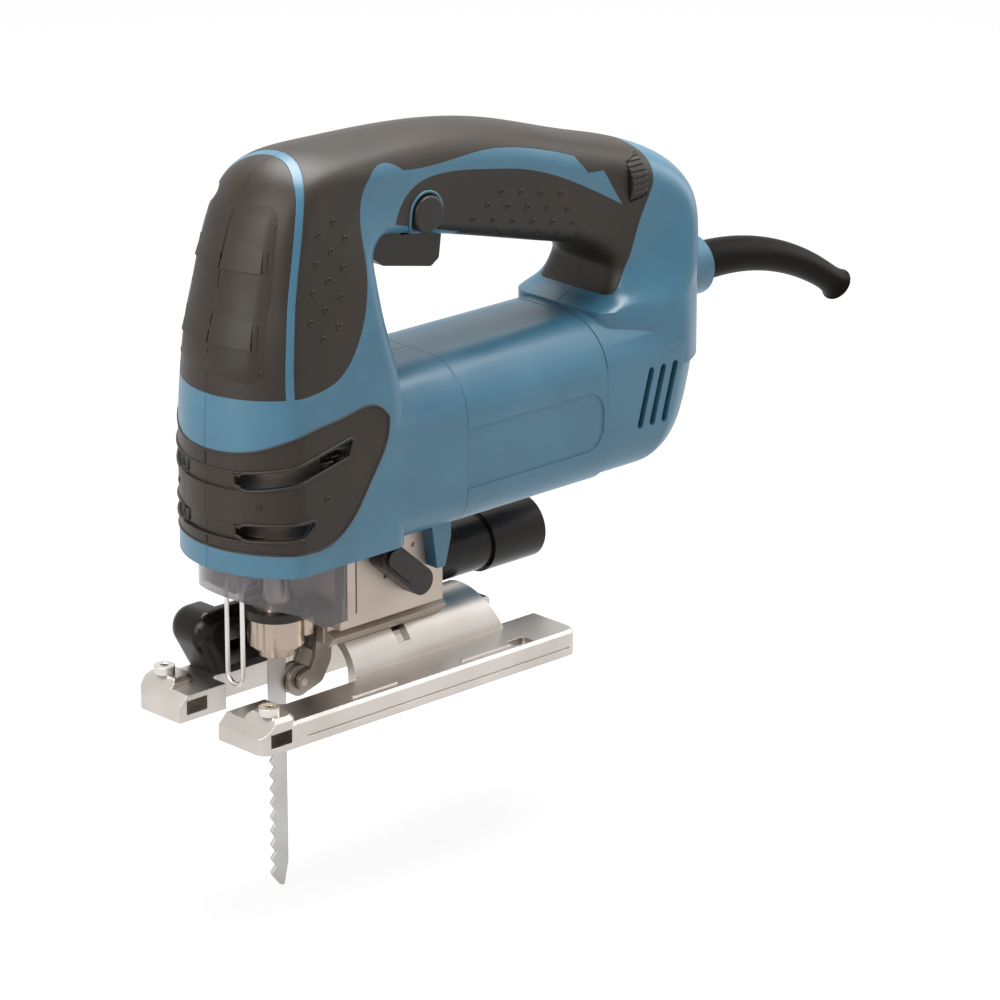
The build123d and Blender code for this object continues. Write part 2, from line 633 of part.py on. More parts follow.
def housing_skins():
    """Two moulded handle shells with the soft grip, front pad and louvre cover let into each."""
    wide = SIDE_REACH
    shell, bands, dial_ribs = blank_skins()
    louvres = vent_slots(0.0)
    shared = vent_slots(WALL / 4) + rear_slots()
    shared.append(block(TRIGGER_PIVOT_X - 5, TRIGGER_SLOT_REAR, -TRIGGER_HALF - SLIP, TRIGGER_HALF + SLIP,
                        GRIP_UNDER - 20, TRIGGER_PIVOT_Z + 5))
    inner = [rod("y", SCREW_R + SEAT, SCREW_TIP_Y - 0.5, wide, x, z) for x, z in SCREW_SPOTS]
    inner.append(block(SWITCH_FRONT - SEAT, SWITCH_REAR + SEAT, -SWITCH_HALF - SEAT, SWITCH_HALF + SEAT,
                       SWITCH_LOW - 4, SWITCH_TOP + 4))
    inner.append(block(GEAR_CASE_FRONT - 12, GEAR_CASE_REAR, -GEAR_CASE_HALF - SEAT, GEAR_CASE_HALF + SEAT,
                       RIM_Z - 10, GEAR_CASE_TOP + SEAT))
    inner.append(rod("x", GUARD_NECK_R + SEAT, REAR_X - 22, BOSS_END + 1, 0, CORD_Z))
    inner.append(rod("x", GUARD_FLANGE_R + SEAT, GUARD_FLANGE_X, GUARD_FLANGE_X + GUARD_FLANGE_T, 0, CORD_Z))
    inner.append(rod("x", DIAL_AXLE_R + RUN, DIAL_X - 20, DIAL_X + 20, DIAL_Y, DIAL_Z))
    inner.append(rod("y", TRIGGER_PIN_R + SEAT, -TRIGGER_PIN_HALF - SEAT, TRIGGER_PIN_HALF + SEAT,
                     TRIGGER_PIVOT_X, TRIGGER_PIVOT_Z))
    inner.append(block(-HALF_SPACE, HALF_SPACE, -SEAM / 2, SEAM / 2, -HALF_SPACE, HALF_SPACE))
    left_holes = [rod("y", BUTTON_HOLE_R, -wide, 0, BUTTON_X, BUTTON_Z),
                  rod("x", DIAL_R + SLIP, DIAL_X - DIAL_W / 2 - SLIP, DIAL_X + DIAL_W / 2 + SLIP, DIAL_Y,
                      DIAL_Z)]
    right_holes = [rod("y", SCREW_HEAD_R + SLIP, SCREW_HEAD_Y, wide, x, z) for x, z in SCREW_SPOTS]
    grip, pad, vent = bands
    nodes = {}
    for side, word, own in ((-1, "left", left_holes), (1, "right", right_holes)):
        body = shell + dial_ribs if side < 0 else mirrored(shell, side)
        nodes[f"handle_shell_{word}"] = body - shared - inner - own
        nodes[f"soft_grip_{word}"] = mirrored(grip, side) - shared[-1:] - inner[-1:] - own
        nodes[f"front_pad_{word}"] = mirrored(pad, side) - inner[-1:] - own
        nodes[f"vent_cover_{word}"] = mirrored(vent, side) - louvres - inner[-1:]
    return nodes


def motor_housing():
    """Barrel between the handle shells, with the brush bridge and rear bearing seat behind it."""
    body = barrel(SEAM_FRONT, SEAM_REAR)
    rims = [e for e in body.edges() if min(abs(e.center().X - SEAM_FRONT),
                                           abs(e.center().X - SEAM_REAR)) < 0.01]
    body = chamfer(rims, RIM_BEVEL) + rod("x", BRIDGE_R, SEAM_REAR - 6, BRIDGE_REAR, 0, MOTOR_Z)
    body -= rod("x", STATOR_R + SEAT, SEAM_FRONT - 1, SEAM_REAR - 4, 0, MOTOR_Z)
    body -= rod("x", BRIDGE_R - 2.6, SEAM_REAR - 5, REAR_BEARING_X - 2, 0, MOTOR_Z)
    body -= rod("x", REAR_BEARING_R + SEAT, REAR_BEARING_X, REAR_BEARING_X + BEARING_W, 0, MOTOR_Z)
    body -= rod("x", SHAFT_R + 1, REAR_BEARING_X - 10, REAR_BEARING_X + 1, 0, MOTOR_Z)
    for s in (-1, 1):
        y = sorted((s * 18, s * 40))
        body -= block(BRUSH_X - BRUSH_BOX_HALF - SEAT, BRUSH_X + BRUSH_BOX_HALF + SEAT, y[0], y[1],
                      MOTOR_Z - BRUSH_BOX_HALF - SEAT, MOTOR_Z + BRUSH_BOX_HALF + SEAT)
    panel = polygon((SEAM_FRONT - 1, PANEL_LOW), (SEAM_REAR - 2, PANEL_LOW),
                    (SEAM_REAR - 2, PANEL_LOW + PANEL_H),
                    (SEAM_FRONT - 1, PANEL_LOW + PANEL_H))
    panel = fillet(panel.vertices().sort_by(Axis.X)[-2:], PANEL_R)
    for y0 in (-BARREL_HALF_W - 5, BARREL_HALF_W - 0.5):
        body -= side_prism(panel, y0, y0 + 5.5)
    return body


def involute(teeth, x0, x1, turn, z):
    """Spur gear along X with involute flanks, thinned for backlash; a tooth gap points along turn."""
    pitch = MODULE * teeth / 2
    base = pitch * cos(radians(PRESSURE_ANGLE))
    tip = pitch + MODULE
    root = pitch - 1.2 * MODULE
    spread = tan(radians(PRESSURE_ANGLE)) - radians(PRESSURE_ANGLE)
    half_tooth = pi / (2 * teeth) - BACKLASH / pitch + spread
    flank = []
    start = max(base, root + 0.15 * MODULE)
    for i in range(4):
        r = start + (tip - start) * i / 3
        angle = acos(min(1.0, base / r))
        flank.append((r, half_tooth - (tan(angle) - angle)))
    points = []
    for k in range(teeth):
        middle = radians(turn) + (2 * k + 1) * pi / teeth
        left = [(root, -flank[0][1])] + [(r, -a) for r, a in flank]
        right = [(r, a) for r, a in reversed(flank)] + [(root, flank[0][1])]
        points += [(r * cos(middle + a), r * sin(middle + a)) for r, a in left + right]
    return cross_prism(Pos(0, z) * make_face(Polyline(*points, close=True)), x0, x1)


def armature():
    """Everything that turns on the motor's own shaft."""
    shaft = rod("x", SHAFT_R, BELL_FRONT - 1.5, REAR_BEARING_X + BEARING_W - 0.5, 0, MOTOR_Z)
    shaft += involute(PINION_TEETH, GEAR_X - 1, BELL_FRONT - 1.5, 90, MOTOR_Z)
    core = tube("x", ROTOR_R, SHAFT_R, ROTOR_FRONT, ROTOR_FRONT + ROTOR_LENGTH, 0, MOTOR_Z)
    slots = [Rot(30 * k, 0, 0) * block(ROTOR_FRONT - 1, ROTOR_FRONT + ROTOR_LENGTH + 1, -0.9, 0.9,
                                       ROTOR_R - 6, ROTOR_R + 1) for k in range(12)]
    core -= [Pos(0, 0, MOTOR_Z) * slot for slot in slots]
    winding = tube("x", WINDING_R, SHAFT_R, ROTOR_FRONT - WINDING_OUT, ROTOR_FRONT, 0, MOTOR_Z)
    rear = ROTOR_FRONT + ROTOR_LENGTH
    winding_rear = tube("x", WINDING_R, SHAFT_R, rear, COMM_FRONT, 0, MOTOR_Z)
    comm = tube("x", COMM_R, SHAFT_R, COMM_FRONT, COMM_FRONT + COMM_LENGTH, 0, MOTOR_Z)
    fan = tube("x", FAN_R, SHAFT_R, FAN_FRONT + FAN_LENGTH - 1.6, FAN_FRONT + FAN_LENGTH, 0, MOTOR_Z)
    fan += tube("x", SHAFT_R + 4, SHAFT_R, FAN_FRONT, FAN_FRONT + FAN_LENGTH, 0, MOTOR_Z)
    vanes = [Rot(360 / FAN_BLADES * k, 0, 0) * block(FAN_FRONT, FAN_FRONT + FAN_LENGTH, -0.8, 0.8,
                                                     SHAFT_R + 2, FAN_R)
             for k in range(FAN_BLADES)]
    fan += [Pos(0, 0, MOTOR_Z) * vane for vane in vanes]
    return {"armature_shaft": shaft, "armature_core": core,
            "armature_windings": Compound([winding, winding_rear]), "commutator": comm, "cooling_fan": fan}


def bearing(r_out, x0):
    """Sealed ball bearing, drawn as one ring."""
    return tube("x", r_out, SHAFT_R + RUN, x0, x0 + BEARING_W, 0, MOTOR_Z)


def field():
    """Field core with its two pole shoes, and the two saddle coils round them."""
    length = STATOR_LENGTH
    inner = ROTOR_R + AIR_GAP
    ring_in = STATOR_R - YOKE_RING
    core = tube("x", STATOR_R, ring_in, STATOR_FRONT, STATOR_FRONT + length, 0, MOTOR_Z)
    coils = []
    for turn in (90, -90):
        pole = Pos(0, MOTOR_Z) * sector(inner, ring_in + 1, POLE_HALF_ANGLE, turn)
        core += cross_prism(pole, STATOR_FRONT, STATOR_FRONT + length)
        saddle = Pos(0, MOTOR_Z) * sector(inner + 1, ring_in - SEAT, COIL_HALF_ANGLE, turn)
        window = Pos(0, MOTOR_Z) * sector(inner - 1, ring_in + 2, POLE_HALF_ANGLE + 0.3, turn)
        coil = cross_prism(saddle, STATOR_FRONT - COIL_OVERHANG, STATOR_FRONT + length + COIL_OVERHANG)
        coils.append(coil - cross_prism(window, STATOR_FRONT - SEAT, STATOR_FRONT + length + SEAT))
    return {"field_core": core, "field_coils": Compound(coils)}


def brushes():
    """Brass brush boxes and the carbon brushes in them."""
    reach = BRIDGE_R - 1.0
    inner = COMM_R + 2.0
    boxes = []
    carbons = []
    for s in (-1, 1):
        y = sorted((s * inner, s * reach))
        shell = block(BRUSH_X - BRUSH_BOX_HALF, BRUSH_X + BRUSH_BOX_HALF, y[0], y[1],
                      MOTOR_Z - BRUSH_BOX_HALF, MOTOR_Z + BRUSH_BOX_HALF)
        bore = sorted((s * (inner - 1), s * (reach - 2)))
        shell -= block(BRUSH_X - BRUSH_HALF - SEAT, BRUSH_X + BRUSH_HALF + SEAT, bore[0], bore[1],
                       MOTOR_Z - BRUSH_HALF - SEAT, MOTOR_Z + BRUSH_HALF + SEAT)
        boxes.append(shell)
        tip = sorted((s * (COMM_R - 1), s * (reach - 5)))
        carbon = block(BRUSH_X - BRUSH_HALF, BRUSH_X + BRUSH_HALF, tip[0], tip[1],
                       MOTOR_Z - BRUSH_HALF, MOTOR_Z + BRUSH_HALF)
        carbons.append(carbon - rod("x", COMM_R + RUN, BRUSH_X - 20, BRUSH_X + 20, 0, MOTOR_Z))
    return {"brush_boxes": Compound(boxes), "carbon_brushes": Compound(carbons)}


def crank():
    """Reduction gear with the crank pin that drives the plunger, its shaft and the pin's roller."""
    pin_tip = YOKE_X + SLIP
    gear = involute(GEAR_TEETH, GEAR_X, GEAR_X + GEAR_FACE, -90 - 180 / GEAR_TEETH, GEAR_Z)
    gear += rod("x", CRANK_PIN_R, pin_tip, GEAR_X + 1, 0, CRANK_Z)
    weight = Pos(0, GEAR_Z) * sector(GEAR_SHAFT_R + 4, MODULE * GEAR_TEETH / 2 - 3, 50, 90)
    gear += cross_prism(weight, GEAR_X - 2, GEAR_X + 1)
    gear -= rod("x", GEAR_SHAFT_R, GEAR_X + 2, GEAR_X + GEAR_FACE + 1, 0, GEAR_Z)
    shaft = rod("x", GEAR_SHAFT_R, GEAR_X + 2, GEAR_BOSS_REAR + 0.5, 0, GEAR_Z)
    shaft += rod("x", GEAR_SHAFT_R + 2, GEAR_X + GEAR_FACE, BELL_FRONT - 2 - SLIP, 0, GEAR_Z)
    roller = tube("x", YOKE_ROLLER_R, CRANK_PIN_R, pin_tip, GEAR_X - 2.3, 0, CRANK_Z)
    return {"crank_gear": gear, "gear_shaft": shaft, "crank_roller": roller}


def plunger():
    """Reciprocating bar with its crosshead yoke."""
    bar = rod("z", PLUNGER_R, SHANK_TOP, PLUNGER_TOP)
    yoke = block(-PLUNGER_R, YOKE_X, -YOKE_HALF_W, YOKE_HALF_W, CRANK_Z - YOKE_HALF_H, CRANK_Z + YOKE_HALF_H)
    slot_half = YOKE_ROLLER_R + SLIP
    yoke -= block(YOKE_X - 4.5, YOKE_X + 1, -CRANK_R - slot_half, CRANK_R + slot_half,
                  CRANK_Z - slot_half, CRANK_Z + slot_half)
    return bar + yoke


def plunger_bushes():
    """Upper and lower sintered guide bushes of the plunger."""
    low = tube("z", BUSH_R, PLUNGER_R + RUN, LOW_BUSH_Z, LOW_BUSH_Z + LOW_BUSH_H)
    top = tube("z", BUSH_R, PLUNGER_R + RUN, TOP_BUSH_Z, TOP_BUSH_Z + TOP_BUSH_H)
    return Compound([low, top])


def gear_housing():
    """Die-cast case: exposed foot over the base, nose plate, bearing bulkhead and bush arms."""
    case = side_prism(case_outline(), -GEAR_CASE_HALF, GEAR_CASE_HALF)
    low = GEAR_CASE_LOW
    half_w = GEAR_CASE_HALF
    saddle = Pos(0, TILT_Z) * sector(SADDLE_R - 1, low - TILT_Z + 0.6, SADDLE_HALF_ANGLE, 90)
    case += cross_prism(saddle, GEAR_CASE_FRONT, SADDLE_REAR)
    web = (low - TILT_Z) / 2
    case += block(GEAR_CASE_FRONT, GEAR_CASE_REAR, -web, web, low - 5, low + 1)
    case -= block(GEAR_CASE_FRONT + CASE_WALL, GEAR_CASE_REAR - CASE_WALL, -half_w + CASE_WALL,
                  half_w - CASE_WALL,
                  low + CASE_WALL, GEAR_CASE_TOP - CASE_WALL)
    case -= rod("x", SADDLE_R, 0, SADDLE_REAR + 1, 0, TILT_Z)
    case -= block(0, ARCH_FRONT + 0.6, -EAR_IN, EAR_IN, 0, low + 2)
    for s in (-1, 1):
        y = sorted((s * EAR_IN, s * EAR_OUT))
        case += block(PIVOT_X - 4, ARCH_FRONT - 0.5, y[0], y[1], PIVOT_Z - 4, low + 3)
        y = sorted((s * (half_w - CASE_WALL), s * (COVER_HALF - COVER_T - SLIP)))
        case += block(COVER_REAR - 5, GEAR_CASE_FRONT + 2, y[0], y[1], low + 16, COVER_TOP - 2)
        y = sorted((s * (half_w - 0.8), s * (half_w + 1)))
        case -= block(PLATE_GROOVE_X, PLATE_GROOVE_X + 0.8, y[0], y[1], low + 5, GEAR_CASE_TOP + 1)
    case -= rod("y", PIVOT_R, -EAR_OUT - 1, EAR_OUT + 1, PIVOT_X, PIVOT_Z)
    case -= [rod("y", DETENT_R, -half_w - 1, -half_w + DETENT_R, LEVER_X + DETENT_RING * cos(radians(a)),
                 LEVER_Z + DETENT_RING * sin(radians(a))) for a in DETENT_ANGLES]
    plate = block(PLATE_FRONT, GEAR_CASE_FRONT + 4, -PLATE_HALF, PLATE_HALF, PLATE_Z, PLATE_Z + PLATE_H)
    plate = plate & rod("z", COVER_R - 2 * SLIP, PLATE_Z - 1, PLATE_Z + PLATE_H + 1, COVER_CENTRE + COVER_T,
                        0)
    plate += rod("z", BUSH_R + 3, LOW_BUSH_Z, LOW_BUSH_Z + LOW_BUSH_H)
    bell = rod("x", BELL_R, BELL_FRONT, SEAM_FRONT, 0, MOTOR_Z)
    bell -= rod("x", BELL_R - BELL_WALL, BELL_FRONT + BEARING_W, SEAM_FRONT + 1, 0, MOTOR_Z)
    boss = rod("x", GEAR_SHAFT_R + 5, BELL_FRONT - 2, GEAR_BOSS_REAR, 0, GEAR_Z)
    post = block(BELL_FRONT - 2, POST_REAR, -ARM_HALF - 2, ARM_HALF + 2, GEAR_Z, TOP_BUSH_Z + TOP_BUSH_H)
    arm = block(0, POST_REAR, -ARM_HALF, ARM_HALF, TOP_BUSH_Z, TOP_BUSH_Z + TOP_BUSH_H)
    arm += rod("z", BUSH_R + 3, TOP_BUSH_Z, TOP_BUSH_Z + TOP_BUSH_H)
    body = case + plate + bell + boss + post + arm
    body -= rod("x", FRONT_BEARING_R + SEAT, BEARING_X - 1, BEARING_X + BEARING_W, 0, MOTOR_Z)
    body -= rod("x", GEAR_SHAFT_R + RUN, BELL_FRONT - 3, BELL_FRONT + BEARING_W + 1, 0, GEAR_Z)
    body -= rod("z", BUSH_R + SEAT, LOW_BUSH_Z - 5, TOP_BUSH_Z + TOP_BUSH_H + 1)
    body -= [rod("z", WIRE_R + SEAT, PLATE_Z - 1, PLATE_Z + PLATE_H + 1, WIRE_X, s * WIRE_HALF) for s in (-1,
                                                                                                          1)]
    body -= rod("y", ORBIT_R + RUN, -half_w - 1, 0, LEVER_X, LEVER_Z)
    body -= rod("z", BOLT_R + SEAT, 0, low + CASE_WALL + 1, BOLT_X, 0)
    return body


def case_outline():
    """Side view of the exposed gear case, with its rear top corner well rounded."""
    face = polygon((GEAR_CASE_FRONT, GEAR_CASE_LOW), (GEAR_CASE_REAR, GEAR_CASE_LOW),
                   (GEAR_CASE_REAR, RIM_Z - 1), (GEAR_CASE_REAR - 14, GEAR_CASE_TOP), (GEAR_CASE_FRONT,
                                                                                       GEAR_CASE_TOP))
    rear = [v for v in face.vertices() if v.X > GEAR_CASE_REAR - 15 and v.Y > RIM_Z - 2]
    return fillet(rear, 6)


def cord_guard():
    """Tapered rubber sleeve that droops in one arc from the rear boss, with a flared lip."""
    bend = (GUARD_LENGTH - GUARD_STRAIGHT) / radians(GUARD_DROOP)
    taper = (GUARD_ROOT_R - GUARD_END_R) / GUARD_LENGTH

    def point_at(length):
        """Point on the sleeve's middle line, and its direction, at a length from the boss."""
        turn = max(0.0, length - GUARD_STRAIGHT) / bend
        x = BOSS_END + min(length, GUARD_STRAIGHT) + bend * sin(turn)
        return (x, 0, CORD_Z - bend * (1 - cos(turn))), (cos(turn), 0, -sin(turn))

    def ring(length, r):
        at, along = point_at(length)
        return Plane(origin=at, x_dir=(0, 1, 0), z_dir=along) * Circle(r)

    stops = [GUARD_LENGTH * i / 10 for i in range(10)]
    rings = [ring(s, GUARD_ROOT_R - taper * s) for s in stops]
    rings += [ring(GUARD_LENGTH - 4, GUARD_END_R + 0.5), ring(GUARD_LENGTH, GUARD_LIP_R)]
    body = loft(rings)
    body += rod("x", GUARD_NECK_R, REAR_X - 20, BOSS_END + 1, 0, CORD_Z)
    body += rod("x", GUARD_FLANGE_R, GUARD_FLANGE_X, GUARD_FLANGE_X + GUARD_FLANGE_T, 0, CORD_Z)
    first = (REAR_X - 21, 0, CORD_Z)
    bend_start = point_at(GUARD_STRAIGHT)[0]
    bend_mid = point_at((GUARD_STRAIGHT + GUARD_LENGTH) / 2)[0]
    tip, along = point_at(GUARD_LENGTH)
    past = (tip[0] + 3 * along[0], 0, tip[2] + 3 * along[2])
    path = Wire([Line(first, bend_start), ThreePointArc(bend_start, bend_mid, tip), Line(tip, past)])
    return body - sweep(Plane(origin=first, x_dir=(0, 1, 0), z_dir=(1, 0, 0)) * Circle(GUARD_BORE_R),
                        path=path)


def base():
    """Tilting die-cast base: plate, front prongs with guide-rule slots, and the arch behind the blade."""
    half_w = BASE_WIDTH / 2
    channel = ARCH_R - ARCH_WALL
    outline = polygon((BASE_FRONT, -half_w), (BASE_REAR, -half_w), (BASE_REAR, half_w), (BASE_FRONT, half_w),
                      radius=BASE_CORNER)
    notch = polygon((BASE_FRONT - 5, -NOTCH_HALF), (NOTCH_WIDE_FRONT + 5, -NOTCH_HALF),
                    (NOTCH_WIDE_FRONT + 5, NOTCH_HALF), (BASE_FRONT - 5, NOTCH_HALF))
    wide = Pos((NOTCH_WIDE_FRONT + ARCH_FRONT) / 2, 0) * RectangleRounded(
        ARCH_FRONT - NOTCH_WIDE_FRONT, 2 * NOTCH_WIDE_HALF, 3)
    plate = plan_prism(outline, 0, BASE_THICK)
    plate = chamfer(plate.edges().group_by(Axis.Z)[-1], BASE_BEVEL)
    for s in (-1, 1):
        pad = Pos((BASE_FRONT + PAD_REAR) / 2, s * (PAD_INNER + half_w) / 2) * RectangleRounded(
            PAD_REAR - BASE_FRONT, half_w - PAD_INNER, BASE_CORNER)
        pad = plan_prism(pad, BASE_THICK - 4, PAD_TOP)
        plate += chamfer(pad.edges().group_by(Axis.Z)[-1], PAD_BEVEL)
        plate -= rod("z", GUIDE_SCREW_R + SEAT, RULE_Z, PAD_TOP + 1, RULE_X, s * RULE_SCREW_Y)
        y = sorted((s * (half_w - EDGE_GROOVE), s * (half_w + 1)))
        plate -= block(PAD_REAR + 4, BASE_REAR - BASE_CORNER, y[0], y[1], EDGE_GROOVE_Z,
                       EDGE_GROOVE_Z + EDGE_GROOVE)
    for x0, x1 in BAR_SPANS:
        bar = Pos((x0 + x1) / 2, -BAR_Y) * RectangleRounded(x1 - x0, BAR_W, BAR_W / 3)
        plate += plan_prism(bar, BASE_THICK - 1, BASE_THICK + BAR_H)
    dish = Pos(BAR_SPANS[-1][1] + DISH_LENGTH / 2 + 1, -BAR_Y) * RectangleRounded(DISH_LENGTH, 4 * BAR_W, 1)
    plate -= plan_prism(dish, BASE_THICK - DISH_DEPTH, BASE_THICK + 1)
    plate -= plan_prism(notch, -1, PAD_TOP + 1)
    plate -= plan_prism(wide, -1, PAD_TOP + 1)
    plate -= side_prism(polygon((BASE_FRONT - 1, TOE_HEIGHT), (BASE_FRONT, TOE_HEIGHT),
                                (BASE_FRONT + TOE_LENGTH, PAD_TOP), (BASE_FRONT + TOE_LENGTH, PAD_TOP + 1),
                                (BASE_FRONT - 1, PAD_TOP + 1)), -half_w - 1, half_w + 1)
    arch = cross_prism(Pos(0, TILT_Z) * sector(channel, ARCH_R, 90, 90), ARCH_FRONT, ARCH_REAR_FOOT)
    plate -= block(ARCH_FRONT - 1, BASE_REAR + 1, -channel, channel, -1, BASE_THICK + 1)
    body = plate + arch
    body -= side_prism(polygon((ARCH_REAR_TOP, TILT_Z + ARCH_R + 1), (ARCH_REAR_FOOT, BASE_THICK),
                               (BASE_REAR + 5, BASE_THICK), (BASE_REAR + 5, TILT_Z + ARCH_R + 1)), -half_w,
                               half_w)
    reach = TILT_MAX + degrees(atan((BOLT_R + 1) / channel))
    slot = Pos(0, TILT_Z) * sector(channel - 1, ARCH_R + 1, reach, 90)
    body -= cross_prism(slot, BOLT_X - BOLT_R - SLIP, BOLT_X + BOLT_R + SLIP)
    body -= block(RULE_X - RULE_W / 2, RULE_X + RULE_W / 2, -half_w - 1, half_w + 1, RULE_Z - RULE_H / 2,
                  RULE_Z + RULE_H / 2)
    return body


def socket_screw(r, head_r, head_h, tip, seat, x, y):
    """Socket-head screw standing upright, head on top of seat."""
    screw = rod("z", r, tip, seat, x, y) + rod("z", head_r, seat, seat + head_h, x, y)
    socket = Pos(x, y, seat + head_h * 0.4) * RegularPolygon(HEX_R * 2 / sqrt(3), 6)
    return screw - extrude(socket, amount=head_h)


def base_fasteners():
    """Guide-rule screws on the prongs, and the bolt and shoe that clamp the arch."""
    tip = RULE_Z + RULE_H / 2
    screws = [socket_screw(GUIDE_SCREW_R, GUIDE_HEAD_R, GUIDE_HEAD_H, tip, PAD_TOP, RULE_X, s * RULE_SCREW_Y)
              for s in (-1, 1)]
    shoe_out = ARCH_R - ARCH_WALL - SLIP
    shoe_in = shoe_out - SHOE_T
    shoe = cross_prism(Pos(0, TILT_Z) * sector(shoe_in, shoe_out, SHOE_HALF_ANGLE, 90), BOLT_X - SHOE_HALF_L,
                       BOLT_X + SHOE_HALF_L)
    shoe -= rod("z", BOLT_R + SEAT, 0, 40, BOLT_X, 0)
    flat = TILT_Z + shoe_in * cos(radians(SHOE_HALF_ANGLE))
    shoe += plan_ring(BOLT_R + SEAT, BOLT_R + 2.4, flat, TILT_Z + shoe_in + 1)
    bolt = rod("z", BOLT_R, flat, GEAR_CASE_LOW + CASE_WALL, BOLT_X, 0)
    bolt += rod("z", BOLT_R + 2.2, flat - 4, flat, BOLT_X, 0)
    return {"guide_screws": Compound(screws), "base_clamp_shoe": shoe, "base_clamp_bolt": bolt}


def plan_ring(r_in, r_out, z0, z1):
    """Upright ring round the clamp bolt."""
    return tube("z", r_out, r_in, z0, z1, BOLT_X, 0)


def blade_clamp():
    """Blade holder on the plunger, its turning sleeve, its cap and the blade."""
    neck_top = HOLDER_LOW + COLLAR_H
    holder = rod("z", HOLDER_R, neck_top, HOLDER_TOP) + rod("z", COLLAR_R, HOLDER_LOW, neck_top)
    holder += rod("z", SNAP_R, neck_top, neck_top + SNAP_H)
    holder -= rod("z", PLUNGER_R, SHANK_TOP, HOLDER_TOP + 1)
    holder -= block(-BLADE_W / 2 - SEAT, BLADE_W / 2 + SEAT, -BLADE_T / 2 - SEAT, BLADE_T / 2 + SEAT,
                    HOLDER_LOW - 1, SHANK_TOP)
    sleeve = rod("z", SLEEVE_R, SLEEVE_LOW, SLEEVE_TOP)
    lug = plan_prism(Pos(SLEEVE_R - 0.5, -4) * RectangleRounded(5, 7, 1.2), SLEEVE_LOW + 2, SLEEVE_TOP - 1)
    sleeve = sleeve + lug - rod("z", HOLDER_R + RUN, 0, 60)
    cap = tube("z", CAP_R, HOLDER_R, CAP_LOW, HOLDER_TOP)
    back = BLADE_W / 2
    top = SHANK_TOP
    teeth = []
    z = BLADE_TIP + 6
    for k in range(TOOTH_COUNT):
        low = z + k * TOOTH_PITCH
        teeth += [(-back, low), (-back + 0.4, low + 0.5), (-back + TOOTH_DEPTH, low + 0.45 * TOOTH_PITCH)]
    front = [(-back + TOOTH_DEPTH * 0.5, BLADE_TIP + 4)] + teeth + [(-back, z + TOOTH_COUNT * TOOTH_PITCH)]
    outline = [(back - 2, BLADE_TIP), (back - 3.5, BLADE_TIP)] + front + [(-back, top), (back, top),
                                                                          (back, BLADE_TIP + 9)]
    blade = side_prism(polygon(*outline), -BLADE_T / 2, BLADE_T / 2)
    return {"blade_holder": holder, "clamp_sleeve": sleeve, "clamp_cap": cap, "blade": blade}


def roller_guide():
    """Roller that backs the blade, the retainer it turns in and the pins of both."""
    roller = rod("y", ROLLER_R, -ROLLER_W / 2, ROLLER_W / 2, ROLLER_X, ROLLER_Z)
    groove = Pos(ROLLER_X, 0, ROLLER_Z) * Rot(90, 0, 0) * Torus(ROLLER_R, ROLLER_GROOVE_R)
    roller = roller - groove - rod("y", ROLLER_PIN_R + RUN, -ROLLER_W, ROLLER_W, ROLLER_X, ROLLER_Z)
    knee = (PIVOT_X - 4, ROLLER_Z + 1.5)
    heel = (PIVOT_X - 0.8, ROLLER_Z + 7)
    profile = capsule((ROLLER_X + 1, ROLLER_Z), knee, ARM_R) + capsule(knee, heel, ARM_R)
    profile += capsule(heel, (PIVOT_X, PIVOT_Z), ARM_R)
    cheeks = [side_prism(profile, min(s * CHEEK_IN, s * CHEEK_OUT),
                         max(s * CHEEK_IN, s * CHEEK_OUT)) for s in (-1, 1)]
    bridge = side_prism(capsule((heel[0] + 2, heel[1] + 2), (PIVOT_X + 2, PIVOT_Z - 5), 1.4), -CHEEK_OUT,
                        CHEEK_OUT)
    retainer = cheeks[0] + cheeks[1] + bridge
    retainer += rod("y", 3.6, -CHEEK_OUT, CHEEK_OUT, PIVOT_X, PIVOT_Z)
    retainer -= rod("y", PIVOT_R + RUN, -20, 20, PIVOT_X, PIVOT_Z)
    retainer -= rod("y", ROLLER_PIN_R, -20, 20, ROLLER_X, ROLLER_Z)
    pin = rod("y", ROLLER_PIN_R, -CHEEK_OUT, CHEEK_OUT, ROLLER_X, ROLLER_Z)
    pivot = rod("y", PIVOT_R, -EAR_OUT - 0.5, EAR_OUT + 0.5, PIVOT_X, PIVOT_Z)
    return {"guide_roller": roller, "roller_retainer": retainer, "roller_pin": pin, "retainer_pin": pivot}


def orbit_lever():
    """Lever on the left of the gear case that sets the orbital action, and its shaft."""
    turn = radians(LEVER_ANGLE)
    tip = (LEVER_X + LEVER_LENGTH * cos(turn), LEVER_Z + LEVER_LENGTH * sin(turn))
    face_y = -GEAR_CASE_HALF - SLIP
    lever = side_prism(capsule((LEVER_X, LEVER_Z), tip, LEVER_R), face_y - LEVER_T, face_y)
    raised = capsule((LEVER_X + 6 * cos(turn), LEVER_Z + 6 * sin(turn)), tip, 3.6)
    lever += side_prism(raised, face_y - LEVER_T - 1.5, face_y)
    shaft = rod("y", ORBIT_R, face_y, -GEAR_CASE_HALF + CASE_WALL + 4, LEVER_X, LEVER_Z)
    shaft += rod("y", ORBIT_R + 2, -GEAR_CASE_HALF + CASE_WALL + SLIP, -GEAR_CASE_HALF + CASE_WALL + 4,
                 LEVER_X, LEVER_Z)
    return {"orbit_lever": lever, "orbit_shaft": shaft}


